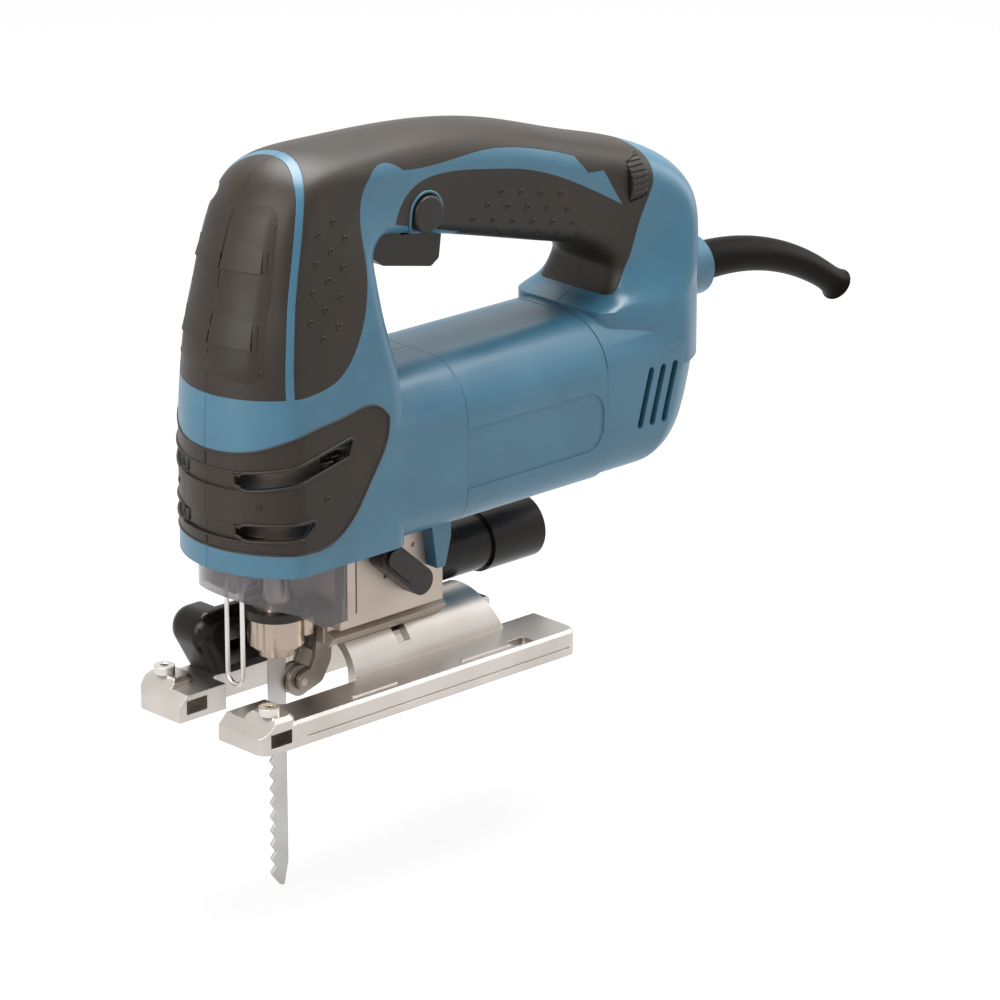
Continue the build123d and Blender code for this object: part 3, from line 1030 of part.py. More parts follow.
def dust_parts():
    """Clear cover round the blade and the wire finger guard."""
    def shell_face(r, side):
        cut = COVER_CENTRE - sqrt(r ** 2 - side ** 2)
        return make_face([
            ThreePointArc((cut, -side), (COVER_CENTRE - r, 0), (cut, side)),
            Line((cut, side), (COVER_REAR, side)),
            Line((COVER_REAR, side), (COVER_REAR, -side)),
            Line((COVER_REAR, -side), (cut, -side)),
        ])
    ring = shell_face(COVER_R, COVER_HALF) - Pos(COVER_T, 0) * shell_face(COVER_R, COVER_HALF - COVER_T)
    cover = plan_prism(ring, 0, COVER_TOP)
    hem = polygon((COVER_CENTRE - COVER_R - 5, COVER_TOP + 1), (COVER_CENTRE - COVER_R - 5, RIM_Z - 11),
                  (-12, RIM_Z - 17), (0, RIM_Z - 25), (COVER_REAR + 5, RIM_Z - 25), (COVER_REAR + 5,
                                                                                     COVER_TOP + 1))
    cover = cover & side_prism(hem, -60, 60)
    bend = WIRE_HALF
    top = PLATE_Z + PLATE_H
    leg = [rod("z", WIRE_R, WIRE_LOW + bend, top, WIRE_X, s * WIRE_HALF) for s in (-1, 1)]
    loop = Pos(WIRE_X, 0, WIRE_LOW + bend) * Rot(0, 90, 0) * Torus(bend, WIRE_R)
    loop = loop & block(WIRE_X - 5, WIRE_X + 5, -20, 20, 0, WIRE_LOW + bend)
    wire = leg[0] + leg[1] + loop
    return {"dust_cover": cover, "wire_guard": wire}


def dust_nozzle():
    """Suction nozzle on the right of the base: a mouth beside the blade, a pipe back and a hose end."""
    side = polygon((MOUTH_FRONT + MOUTH_RAKE, BASE_THICK), (MOUTH_FRONT, NOZZLE_Z - 2),
                   (MOUTH_FRONT, MOUTH_TOP),
                   (MOUTH_REAR, MOUTH_TOP), (MOUTH_REAR, BASE_THICK))
    side = fillet([v for v in side.vertices() if v.X < MOUTH_FRONT + 1], MOUTH_ROUND)
    mouth = side_prism(side, MOUTH_INNER, MOUTH_OUTER)
    rims = [e for e in mouth.edges() if min(abs(e.center().Y - MOUTH_INNER),
                                            abs(e.center().Y - MOUTH_OUTER)) < 0.01]
    mouth = fillet([e for e in rims if e.center().X < MOUTH_REAR - 1 and e.center().Z > BASE_THICK + 1],
                   MOUTH_ROUND - 2)
    pipe = rod("x", NOZZLE_R - NOZZLE_STEP_R, MOUTH_REAR - 8, NOZZLE_STEP + 1, NOZZLE_Y, NOZZLE_Z)
    pipe += rod("x", NOZZLE_R, NOZZLE_STEP, NOZZLE_END, NOZZLE_Y, NOZZLE_Z)
    body = mouth + pipe
    body -= rod("x", NOZZLE_BORE - 1, MOUTH_FRONT + MOUTH_NOSE, NOZZLE_STEP, NOZZLE_Y, NOZZLE_Z)
    body -= rod("x", NOZZLE_BORE, NOZZLE_STEP - 30, NOZZLE_END + 1, NOZZLE_Y, NOZZLE_Z)
    body -= block(MOUTH_FRONT + MOUTH_NOSE, MOUTH_REAR - 8, MOUTH_INNER - 1, NOZZLE_Y, BASE_THICK + 3,
                  MOUTH_TOP - 7)
    return body


def controls():
    """Trigger, its pin, lock button, speed dial, switch and speed controller."""
    px = TRIGGER_PIVOT_X
    pz = TRIGGER_PIVOT_Z
    under = GRIP_UNDER
    outline = polygon((px - 3.6, pz + 3.6), (px - 3.6, under - 7.5), (px + 1, under - 11),
                      (px + 25, under - 16),
                      (px + 29, under - 13.5), (px + 30.5, under - 2), (px + 10, under - 1), (px + 3.6,
                                                                                              pz + 3.6),
                      radius=1.6)
    trigger = side_prism(outline, -TRIGGER_HALF, TRIGGER_HALF)
    trigger -= rod("y", TRIGGER_PIN_R + RUN, -20, 20, px, pz)
    pin = rod("y", TRIGGER_PIN_R, -TRIGGER_PIN_HALF, TRIGGER_PIN_HALF, px, pz)
    button = rod("y", BUTTON_R, BUTTON_FACE_Y, BUTTON_INNER_Y, BUTTON_X, BUTTON_Z)
    button = fillet(button.edges().sort_by(Axis.Y)[0], 1.0)
    flange = rod("y", BUTTON_FLANGE_R, BUTTON_FLANGE_Y, BUTTON_FLANGE_Y + BUTTON_FLANGE_T, BUTTON_X, BUTTON_Z)
    button += flange - block(BUTTON_X - 20, BUTTON_X + 20, -SIDE_REACH, 0, BUTTON_Z - 20,
                             BUTTON_Z - BUTTON_R / 4)
    dial = rod("x", DIAL_R, DIAL_X - DIAL_W / 2, DIAL_X + DIAL_W / 2, DIAL_Y, DIAL_Z)
    groove = rod("x", 0.55, DIAL_X - DIAL_W, DIAL_X + DIAL_W, 0, DIAL_R)
    ribs = [Pos(0, DIAL_Y, DIAL_Z) * Rot(360 / DIAL_RIBS * k, 0, 0) * groove for k in range(DIAL_RIBS)]
    dial -= ribs
    dial += rod("x", DIAL_AXLE_R, DIAL_X - DIAL_W / 2 - RIB_T, DIAL_X + DIAL_W / 2 + RIB_T, DIAL_Y, DIAL_Z)
    switch = block(SWITCH_FRONT, SWITCH_REAR, -SWITCH_HALF, SWITCH_HALF, SWITCH_LOW, SWITCH_TOP)
    seat_z = MOTOR_Z + BRIDGE_R
    controller = block(GAP_REAR + 4, BRIDGE_REAR, -12, 12, seat_z, seat_z + 17)
    return {"trigger": trigger, "trigger_pin": pin, "lock_button": button, "speed_dial": dial,
            "switch_body": switch, "speed_controller": controller}


def housing_screws():
    """Screws that pull the two handle shells together from the right."""
    screws = []
    for x, z in SCREW_SPOTS:
        screw = rod("y", SCREW_R, SCREW_TIP_Y, SCREW_HEAD_Y, x, z)
        screw += rod("y", SCREW_HEAD_R, SCREW_HEAD_Y, SCREW_HEAD_Y + SCREW_HEAD_H, x, z)
        screws.append(screw)
    return Compound(screws)


def cord_clamp():
    """Bar across two ribs of the shells that holds the cord down behind its guard."""
    return block(CLAMP_X, CLAMP_X + CLAMP_L, -11, 11, CLAMP_Z, CLAMP_Z + 5)


def main():
    """Every node of the jigsaw by name."""
    nodes = housing_skins()
    nodes["motor_housing"] = motor_housing()
    nodes["gear_housing"] = gear_housing()
    nodes["plunger"] = plunger()
    nodes["plunger_bushes"] = plunger_bushes()
    nodes["front_bearing"] = bearing(FRONT_BEARING_R, BEARING_X)
    nodes["rear_bearing"] = bearing(REAR_BEARING_R, REAR_BEARING_X)
    nodes["base"] = base()
    nodes["cord_guard"] = cord_guard()
    nodes["cord_clamp"] = cord_clamp()
    nodes["housing_screws"] = housing_screws()
    nodes["dust_nozzle"] = dust_nozzle()
    for group in (armature, field, brushes, crank, base_fasteners, blade_clamp, roller_guide, orbit_lever,
                  dust_parts, controls):
        nodes.update(group())
    return nodes


if __name__ == "__main__":
    os.makedirs("parts", exist_ok=True)
    for name, shape in main().items():
        export_step(shape, f"parts/{name}.step")
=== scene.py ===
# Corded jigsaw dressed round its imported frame. Metres, +Z up, nose towards -X, lock button side -Y.
# Sizes below are written in millimetres and turned to metres by MM where they are used.
import math

import bmesh
import bpy
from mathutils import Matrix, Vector
from mathutils.bvhtree import BVHTree


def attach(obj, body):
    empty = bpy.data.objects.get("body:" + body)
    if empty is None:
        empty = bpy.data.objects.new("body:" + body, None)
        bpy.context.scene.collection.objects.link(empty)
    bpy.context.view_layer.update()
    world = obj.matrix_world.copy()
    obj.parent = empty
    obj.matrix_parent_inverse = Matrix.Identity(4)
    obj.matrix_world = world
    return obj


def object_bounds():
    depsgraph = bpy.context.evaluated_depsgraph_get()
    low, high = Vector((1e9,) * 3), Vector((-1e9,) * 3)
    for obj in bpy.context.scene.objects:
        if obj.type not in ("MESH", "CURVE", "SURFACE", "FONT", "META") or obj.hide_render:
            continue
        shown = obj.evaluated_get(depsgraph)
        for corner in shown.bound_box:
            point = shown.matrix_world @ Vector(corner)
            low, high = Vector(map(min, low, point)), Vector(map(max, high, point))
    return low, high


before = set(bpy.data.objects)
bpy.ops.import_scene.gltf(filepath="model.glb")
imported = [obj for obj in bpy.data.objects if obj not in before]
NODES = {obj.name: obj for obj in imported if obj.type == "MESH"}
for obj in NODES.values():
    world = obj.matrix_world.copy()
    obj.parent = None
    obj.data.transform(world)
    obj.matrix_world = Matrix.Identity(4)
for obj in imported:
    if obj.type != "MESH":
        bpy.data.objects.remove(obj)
CAD_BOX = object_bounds()
MM = 0.001
LEFT, RIGHT = -1, 1

# Details, in millimetres, at side-view places (X, Z) or at an angle round the nose and a height
NOSE_AXIS_X = 10.0
SEAM_W = 0.4                       # a little over the width of a seam
SIDE_DOTS_TOP = (9.1, 190.6)       # first dimple of the side pad
SIDE_DOTS_STEP = (-1.25, -5.1)     # from one row to the next
SIDE_DOTS_PAIR = (6.4, -1.9)       # from the middle of a row to its rear dimple
SIDE_DOT_ROWS = 9
GRIP_DOT_ROWS = ((4, 96.6, 184.0), (5, 89.7, 179.8), (6, 82.2, 176.0), (5, 96.5, 168.4))
GRIP_DOTS_STEP = (10.2, -2.28)
NOSE_DOTS = ((35.5, 192.1), (33.9, 165.7), (32.8, 139.7), (31.8, 89.9))
LOUVRE_DOT = (-3.0, 90.4)
DIMPLE_R, DIMPLE_LIP = 0.92, 0.38
# Raised bands on the nose pad: heights of the top and lower edge at the seam, then at the outer end, and the
# angle of that end in degrees
NOSE_BANDS = ((186.7, 174.9, 183.5, 175.4, 30.0), (159.5, 148.4, 157.7, 148.3, 27.7))
BAND_SEAM_ANGLE = 0.45             # degrees left open beside the seam
BAND_RISE = (0.1, 0.9)             # how far a band stands out at its top and at its lower edge
BAND_LIPS = ((32.8, 183.0, 175.6), (30.4, 157.2, 148.6))   # short lips past the band ends: angle, top, foot
BAND_LIP_BEAD = 0.4
# Flat face down the nose pad, up to a crease beside the bands
FACE_TOP, FACE_FOOT = 201.0, 133.4
CREASE_ANGLE, CREASE_Z = 27.7, 153.0   # degrees round the nose, at this height
CREASE_TURN = 0.0885               # degrees more for each millimetre above it
FACE_RISE = (0.2, 0.8)             # how far the face stands out at the seam and at the crease
FACE_FADE = 11.0                   # degrees past the crease where it has sunk back into the pad
FACE_ENDS = 7.0                    # run-out at the top and the foot
SUNK = -0.4                        # depth of a skirt below the skin
BUTTON_PLACE = (57.6, 183.4)
BUTTON_RING_R, BUTTON_RING_BEAD = 8.2, 0.6
FRAME_BEAD = 0.7
LOUVRE_RIM_BEAD = 0.45
LOUVRE_SPAN = 55.0                 # longer loops of the cover are its outline, shorter ones its openings
# Half pipe of the gear case behind the louvres
BARREL_X, BARREL_R, BARREL_LOW, BARREL_TOP = 2.0, 22.5, 73.5, 117.0
BARREL_WALL, BARREL_HALF_TURN, BARREL_STEPS = 2, 92, 48
# Shading: welds closer than this, edges sharper than these angles in degrees, and a rim's own angle
WELD_GAP = 0.002
NODE_SHARP, RELIEF_SHARP, RIM_SHARP = 32.0, 40.0, 40.0
RIM_CLEAR = 0.05                   # how far off a rim edge it is tested for open air
RING_STEPS = 64
# Camera of the photo
CAMERA_AZIMUTH, CAMERA_ELEVATION, CAMERA_DISTANCE = -43.47, 19.1, 2103
CAMERA_TARGET = (114.3, 0, 53.9)
CAMERA_SENSOR, CAMERA_LENS = 36.0, 198.0
# Studio: lamps as name, place and size in metres and watts; world level for light, and the floor's own share
LAMPS = (("key_softbox", (-1.05, -0.25, 0.95), (0.9, 0.7), 13),
         ("top_softbox", (0.3, 0.1, 1.2), (1.1, 0.8), 35),
         ("side_softbox", (1.2, -0.3, 0.5), (0.6, 0.9), 5),
         ("nose_softbox", (-1.1, 0.15, 0.4), (0.5, 0.9), 5))
WORLD_LEVEL, FLOOR_GLOW = 0.25, 0.86
FLOOR_HALF, FLOOR_GAP = 6.0, 0.3   # metres, and millimetres below the lowest solid


def linear(code):
    """sRGB hex colour as a linear RGBA tuple."""
    parts = [int(code[i:i + 2], 16) / 255 for i in (1, 3, 5)]
    return tuple(c / 12.92 if c <= 0.04045 else ((c + 0.055) / 1.055) ** 2.4 for c in parts) + (1.0,)


def add(tree, kind, inputs=None, **settings):
    """Adds a node with its settings; an input given as a socket is linked, any other is set."""
    node = tree.nodes.new(kind)
    for name, value in settings.items():
        setattr(node, name, value)
    for name, value in (inputs or {}).items():
        if isinstance(value, bpy.types.NodeSocket):
            tree.links.new(value, node.inputs[name])
        else:
            node.inputs[name].default_value = value
    return node


def ramp(node, stops):
    """Sets a colour ramp's stops as (position, RGBA) pairs."""
    elements = node.color_ramp.elements
    while len(elements) < len(stops):
        elements.new(0.5)
    for element, (position, colour) in zip(elements, stops):
        element.position = position
        element.color = colour


def grey(value):
    """Grey level as an RGBA tuple."""
    return (value, value, value, 1.0)


def blank(name):
    """New material with its tree, its shader and the coordinates of the piece."""
    material = bpy.data.materials.new(name)
    material.use_nodes = True
    tree = material.node_tree
    return material, tree, tree.nodes["Principled BSDF"], add(tree, "ShaderNodeTexCoord").outputs["Object"]


def surface(name, light, dark, roughness, grain_mm, grain_depth_mm, blotch_mm=30.0, rough_swing=0.05,
            edge_mm=0.4, metallic=0.0, stretch=(1, 1, 1), **sockets):
    """Material whose colour drifts between two tones, with fine grain, drifting gloss and softened edges."""
    material, tree, shader, place = blank(name)
    drift = add(tree, "ShaderNodeTexNoise", {"Vector": place, "Scale": 1 / (blotch_mm * MM), "Detail": 3.0})
    tone = add(tree, "ShaderNodeValToRGB", {"Fac": drift.outputs["Fac"]})
    ramp(tone, [(0.3, linear(dark)), (0.7, linear(light))])
    drawn = add(tree, "ShaderNodeMapping", {"Vector": place, "Scale": stretch})
    fine = add(tree, "ShaderNodeTexNoise", {"Vector": drawn.outputs["Vector"], "Scale": 1 / (grain_mm * MM),
                                            "Detail": 2.0})
    gloss = add(tree, "ShaderNodeMapRange", {"Value": drift.outputs["Fac"], "From Min": 0.3, "From Max": 0.7,
                                             "To Min": roughness - rough_swing,
                                             "To Max": roughness + rough_swing})
    soft = add(tree, "ShaderNodeBevel", {"Radius": edge_mm * MM}, samples=4)
    bump = add(tree, "ShaderNodeBump", {"Height": fine.outputs["Fac"], "Normal": soft.outputs["Normal"],
                                        "Strength": 1.0, "Distance": grain_depth_mm * MM})
    tree.links.new(tone.outputs["Color"], shader.inputs["Base Color"])
    tree.links.new(gloss.outputs["Result"], shader.inputs["Roughness"])
    tree.links.new(bump.outputs["Normal"], shader.inputs["Normal"])
    shader.inputs["Metallic"].default_value = metallic
    for socket, value in sockets.items():
        shader.inputs[socket.replace("_", " ")].default_value = value
    return material


# Glass-filled nylon, moulded in a spark-eroded tool: even teal blue with a fine satin grain.
BLUE_NYLON = surface("glass_filled_nylon_blue", "#345F74", "#2E576B", 0.36, 0.5, 0.010,
                     Specular_IOR_Level=0.5)
# Thermoplastic rubber moulded over the nylon: warm near-black with a broad dull highlight.
GRIP_RUBBER = surface("overmoulded_tpe_rubber", "#241C14", "#1C160F", 0.45, 0.4, 0.012,
                      Specular_IOR_Level=0.32)
# Nylon louvre moulding: the same warm black, a little greyer and harder.
LOUVRE_NYLON = surface("moulded_nylon_black", "#271F17", "#1F1811", 0.42, 0.4, 0.010,
                       Specular_IOR_Level=0.3)
# Softer black rubber of the cord guard: nearly no sheen.
GUARD_RUBBER = surface("soft_pvc_black", "#0E0A06", "#090604", 0.44, 0.4, 0.010, Specular_IOR_Level=0.06)
# Polished polypropylene: near black with a clear highlight.
BLACK_PP = surface("polished_polypropylene_black", "#120D09", "#0C0906", 0.26, 0.8, 0.004,
                   Specular_IOR_Level=0.22)
# Acetal: the dark levers, buttons and caps, satin.
ACETAL = surface("moulded_acetal_black", "#211B16", "#1B1612", 0.38, 0.4, 0.008, Specular_IOR_Level=0.35)
# Die-cast aluminium, milled on the top of the base: pale grey, faint tool marks along its length.
CAST_ALU = surface("milled_die_cast_aluminium", "#CDC6C0", "#BDB6AF", 0.34, 0.5, 0.012,
                   metallic=1.0, edge_mm=0.5,
                   stretch=(0.06, 1, 1))
# Die-cast aluminium left shot blasted on the gear case: warmer, duller and darker.
BLASTED_ALU = surface("shot_blasted_aluminium", "#BDB1A6", "#AB9F94", 0.46, 0.35, 0.025,
                      metallic=1.0, edge_mm=0.5)
# Ground and polished steel.
GROUND_STEEL = surface("ground_steel", "#C9C5C0", "#B8B3AD", 0.24, 0.5, 0.004, metallic=1.0)
# Bright drawn steel wire.
WIRE_STEEL = surface("drawn_steel_wire", "#DAD6D2", "#CCC8C3", 0.26, 0.4, 0.003, metallic=1.0)
# Zinc-plated steel pressings and screws: warm dull grey.
ZINC_STEEL = surface("zinc_plated_steel", "#A2988F", "#8B8279", 0.36, 0.5, 0.008, metallic=1.0)
# Satin nickel plate on the blade clamp: warm bright metal.
NICKEL = surface("satin_nickel_plate", "#B9AA9D", "#A7988B", 0.24, 0.5, 0.003, metallic=1.0)
# Milled high-carbon steel: pale grey blade with a dull ground face.
BLADE_STEEL = surface("milled_carbon_steel", "#C6C4C2", "#AFACA9", 0.36, 0.3, 0.010, metallic=1.0,
                      stretch=(1, 1, 0.1))
# Sintered bronze, oil soaked.
BRONZE = surface("sintered_bronze", "#A07A45", "#7F5E33", 0.45, 0.3, 0.02, metallic=1.0)
# Enamelled copper wire.
COPPER = surface("enamelled_copper", "#B5622F", "#8E4A22", 0.32, 0.5, 0.02, metallic=1.0)
# Stacked electrical steel: fine lines across the stack.
CORE_STEEL = surface("laminated_steel", "#6E6C6A", "#565452", 0.45, 0.5, 0.02, metallic=1.0,
                     stretch=(1, 0.05, 0.05))
# Pressed carbon.
CARBON = surface("pressed_carbon", "#2A2929", "#1F1E1E", 0.6, 0.2, 0.01)


def smoky_clear():
    """Polycarbonate moulding with a grey tint: clear, glossy, faintly rippled by the flow in its tool."""
    material, tree, shader, place = blank("smoky_polycarbonate")
    ripple = add(tree, "ShaderNodeTexNoise", {"Vector": place, "Scale": 1 / (9 * MM), "Detail": 1.0})
    tint = add(tree, "ShaderNodeValToRGB", {"Fac": ripple.outputs["Fac"]})
    ramp(tint, [(0.3, linear("#857F82")), (0.7, linear("#9B9598"))])
    bump = add(tree, "ShaderNodeBump", {"Height": ripple.outputs["Fac"], "Strength": 0.5,
                                        "Distance": 0.15 * MM})
    tree.links.new(tint.outputs["Color"], shader.inputs["Base Color"])
    tree.links.new(bump.outputs["Normal"], shader.inputs["Normal"])
    shader.inputs["Roughness"].default_value = 0.05
    shader.inputs["IOR"].default_value = 1.5
    shader.inputs["Transmission Weight"].default_value = 0.9
    return material


SMOKY_PC = smoky_clear()

FINISH = {
    BLUE_NYLON: ("handle_shell_left", "handle_shell_right", "motor_housing"),
    GRIP_RUBBER: ("soft_grip_left", "soft_grip_right", "front_pad_left", "front_pad_right"),
    GUARD_RUBBER: ("cord_guard",),
    LOUVRE_NYLON: ("vent_cover_left", "vent_cover_right"),
    BLACK_PP: ("dust_nozzle",),
    SMOKY_PC: ("dust_cover",),
    ACETAL: ("clamp_cap", "orbit_lever", "trigger", "lock_button", "speed_dial", "cooling_fan",
             "switch_body", "speed_controller", "cord_clamp", "trigger_pin"),
    CAST_ALU: ("base",),
    BLASTED_ALU: ("gear_housing",),
    WIRE_STEEL: ("wire_guard", "guide_screws"),
    NICKEL: ("clamp_sleeve", "blade_holder"),
    BLADE_STEEL: ("blade",),
    ZINC_STEEL: ("housing_screws", "base_clamp_bolt", "base_clamp_shoe", "orbit_shaft",
                 "roller_retainer", "guide_roller"),
    BRONZE: ("plunger_bushes", "brush_boxes"),
    COPPER: ("field_coils", "armature_windings", "commutator"),
    CORE_STEEL: ("field_core", "armature_core"),
    CARBON: ("carbon_brushes",),
}
MATERIAL_OF = {node: material for material, nodes in FINISH.items() for node in nodes}


def group(name, *inputs):
    """New Geometry Nodes group with geometry in and out and the named inputs given as (name, kind)."""
    tree = bpy.data.node_groups.new(name, "GeometryNodeTree")
    for label, kind in (("Geometry", "Geometry"),) + inputs:
        tree.interface.new_socket(label, in_out="INPUT", socket_type="NodeSocket" + kind)
    tree.interface.new_socket("Geometry", in_out="OUTPUT", socket_type="NodeSocketGeometry")
    return tree, add(tree, "NodeGroupInput").outputs


def input_id(tree, name):
    """Identifier of a node group's named input."""
    return next(s.identifier for s in tree.interface.items_tree if s.in_out == "INPUT" and s.name == name)


def smooth_group():
    """Smooth shading, with edges sharper than a set angle kept crisp."""
    tree, source = group("shade_by_angle", ("Sharp Angle", "Float"))
    plain = add(tree, "GeometryNodeRemoveAttribute", {"Geometry": source["Geometry"],
                                                      "Name": "custom_normal"})
    smooth = add(tree, "GeometryNodeSetShadeSmooth", {"Geometry": plain.outputs["Geometry"],
                                                      "Shade Smooth": True}, domain="FACE")
    angle = add(tree, "GeometryNodeInputMeshEdgeAngle")
    sharp = add(tree, "FunctionNodeCompare", {"A": angle.outputs["Unsigned Angle"],
                                              "B": source["Sharp Angle"]},
                data_type="FLOAT", operation="GREATER_THAN")
    crisp = add(tree, "GeometryNodeSetShadeSmooth", {"Geometry": smooth.outputs["Geometry"],
                                                     "Shade Smooth": False,
                                                     "Selection": sharp.outputs["Result"]}, domain="EDGE")
    add(tree, "NodeGroupOutput", {"Geometry": crisp.outputs["Geometry"]})
    return tree


def finish_group(tree, shape, material):
    """Ends a group: instances made real, shaded smooth, with their material."""
    real = add(tree, "GeometryNodeRealizeInstances", {"Geometry": shape})
    smooth = add(tree, "GeometryNodeSetShadeSmooth", {"Geometry": real.outputs["Geometry"],
                                                      "Shade Smooth": True})
    dressed = add(tree, "GeometryNodeSetMaterial", {"Geometry": smooth.outputs["Geometry"],
                                                    "Material": material})
    add(tree, "NodeGroupOutput", {"Geometry": dressed.outputs["Geometry"]})


def dimple_group():
    """A low round lip at each point, turned to the point's own facing direction."""
    tree, source = group("dimples_on_points", ("Radius", "Float"), ("Lip", "Float"),
                         ("Material", "Material"))
    path = add(tree, "GeometryNodeCurvePrimitiveCircle", {"Resolution": 16, "Radius": source["Radius"]})
    section = add(tree, "GeometryNodeCurvePrimitiveCircle", {"Resolution": 8, "Radius": source["Lip"]})
    lip = add(tree, "GeometryNodeCurveToMesh", {"Curve": path.outputs["Curve"],
                                                "Profile Curve": section.outputs["Curve"]})
    facing = add(tree, "GeometryNodeInputNamedAttribute", {"Name": "facing"}, data_type="FLOAT_VECTOR")
    turn = add(tree, "FunctionNodeAlignRotationToVector", {"Vector": facing.outputs["Attribute"]}, axis="Z")
    placed = add(tree, "GeometryNodeInstanceOnPoints", {"Points": source["Geometry"],
                                                        "Instance": lip.outputs["Mesh"],
                                                        "Rotation": turn.outputs["Rotation"]})
    finish_group(tree, placed.outputs["Instances"], source["Material"])
    return tree


def bead_group():
    """A round bead along the edges of a mesh."""
    tree, source = group("bead_along_edges", ("Radius", "Float"), ("Material", "Material"))
    path = add(tree, "GeometryNodeMeshToCurve", {"Mesh": source["Geometry"]})
    section = add(tree, "GeometryNodeCurvePrimitiveCircle", {"Resolution": 8, "Radius": source["Radius"]})
    bead = add(tree, "GeometryNodeCurveToMesh", {"Curve": path.outputs["Curve"],
                                                 "Profile Curve": section.outputs["Curve"],
                                                 "Fill Caps": True})
    finish_group(tree, bead.outputs["Mesh"], source["Material"])
    return tree


SMOOTH = smooth_group()
DIMPLES = dimple_group()
BEAD = bead_group()


def shade(obj, angle=NODE_SHARP):
    """Weld the loose triangles for shading and shade them smooth up to an angle, in degrees."""
    weld = obj.modifiers.new("weld", "WELD")
    weld.merge_threshold = WELD_GAP * MM
    smooth = obj.modifiers.new("shade", "NODES")
    smooth.node_group = SMOOTH
    smooth[input_id(SMOOTH, "Sharp Angle")] = math.radians(angle)


def piece(name, mesh, body):
    """Puts a finished mesh in the scene and lets it ride on a body."""
    obj = bpy.data.objects.new(name, mesh)
    bpy.context.scene.collection.objects.link(obj)
    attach(obj, body)
    return obj


def grown(name, mesh, tree, body, **settings):
    """Runs a node group over a mesh and keeps the result as a plain piece that rides on a body."""
    seed = bpy.data.objects.new(name + "_seed", mesh)
    bpy.context.scene.collection.objects.link(seed)
    modifier = seed.modifiers.new("grow", "NODES")
    modifier.node_group = tree
    for label, value in settings.items():
        modifier[input_id(tree, label)] = value
    result = bpy.data.meshes.new_from_object(seed.evaluated_get(bpy.context.evaluated_depsgraph_get()))
    bpy.data.objects.remove(seed)
    return piece(name, result, body)


def skin_of(*names):
    """Search tree over the meshes of some nodes."""
    points, faces = [], []
    for name in names:
        mesh = NODES[name].data
        start = len(points)
        points += [v.co.copy() for v in mesh.vertices]
        faces += [[start + i for i in p.vertices] for p in mesh.polygons]
    return BVHTree.FromPolygons(points, faces)


SIDES = {LEFT: "left", RIGHT: "right"}
SKIN = skin_of("motor_housing", *[part + side for side in SIDES.values()
                                  for part in ("handle_shell_", "soft_grip_", "front_pad_", "vent_cover_")])
FAR = 300 * MM


def from_side(x, z, side):
    """Point and outward direction of the skin at a side-view place, seen from one side. Millimetres in."""
    hit, facing, _, _ = SKIN.ray_cast(Vector((x * MM, side * FAR, z * MM)), Vector((0, -side, 0)))
    return hit, facing


def round_nose(angle, z, side):
    """Outermost point of the skin near an angle round the nose at a height, and its outward direction."""
    centre = Vector((NOSE_AXIS_X, 0, z)) * MM
    away = Vector((-math.cos(angle), side * math.sin(angle), 0))
    found = []
    for shift in (-SEAM_W, 0, SEAM_W):
        start = centre + Vector((-away.y, away.x, 0)) * shift * MM + away * FAR
        hit, facing, _, distance = SKIN.ray_cast(start, -away)
        found.append((distance, hit, facing))
    return min(found, key=lambda f: f[0])[1:]


def dimples():
    """The small dimples pressed in the grips, the nose pad and the louvre cover."""
    places = []
    for side in SIDES:
        for row in range(SIDE_DOT_ROWS):
            x, z = (start + row * step for start, step in zip(SIDE_DOTS_TOP, SIDE_DOTS_STEP))
            for k in (-1, 1) if row % 2 else (0,):
                places.append(from_side(x + k * SIDE_DOTS_PAIR[0], z + k * SIDE_DOTS_PAIR[1], side))
        for count, x, z in GRIP_DOT_ROWS:
            places += [from_side(x + k * GRIP_DOTS_STEP[0], z + k * GRIP_DOTS_STEP[1], side)
                       for k in range(count)]
        places += [round_nose(math.radians(angle), z, side) for angle, z in NOSE_DOTS]
        places.append(from_side(*LOUVRE_DOT, side))
    places = [p for p in places if p[0] is not None]
    mesh = bpy.data.meshes.new("dimple_places")
    mesh.from_pydata([p for p, _ in places], [], [])
    facing = mesh.attributes.new("facing", "FLOAT_VECTOR", "POINT")
    facing.data.foreach_set("vector", [c for _, n in places for c in n])
    grown("grip_dimples", mesh, DIMPLES, "housing", Radius=DIMPLE_R * MM, Lip=DIMPLE_LIP * MM,
          Material=GRIP_RUBBER)


def crease_at(z):
    """Angle round the nose of the crease beside the bands, in degrees."""
    return CREASE_ANGLE + CREASE_TURN * (z - CREASE_Z)


def face_rise(angle, z):
    """How far the flat face of the nose pad stands out at an angle in degrees and a height."""
    past = (angle - crease_at(z)) / FACE_FADE
    share = angle / crease_at(z)
    if past < 0:
        rise = FACE_RISE[0] + share * (FACE_RISE[1] - FACE_RISE[0])
    else:
        rise = FACE_RISE[1] * (1 - past) + SUNK * past
    end = max(0.0, min(1.0, (z - FACE_FOOT) / FACE_ENDS, (FACE_TOP - z) / FACE_ENDS))
    return rise * end + SUNK * (1 - end)


def add_grid(form, grid, side):
    """Faces between the rows of a grid of points, facing out."""
    rows = [[form.verts.new(p) for p in row] for row in grid]
    for upper, lower in zip(rows, rows[1:]):
        for k in range(len(upper) - 1):
            form.faces.new((upper[k], upper[k + 1], lower[k + 1], lower[k])[::-side])


def nose_point(angle, z, side, rise):
    """Point a little way off the skin round the nose. Degrees and millimetres."""
    hit, facing = round_nose(math.radians(angle), z, side)
    return hit + facing * rise * MM


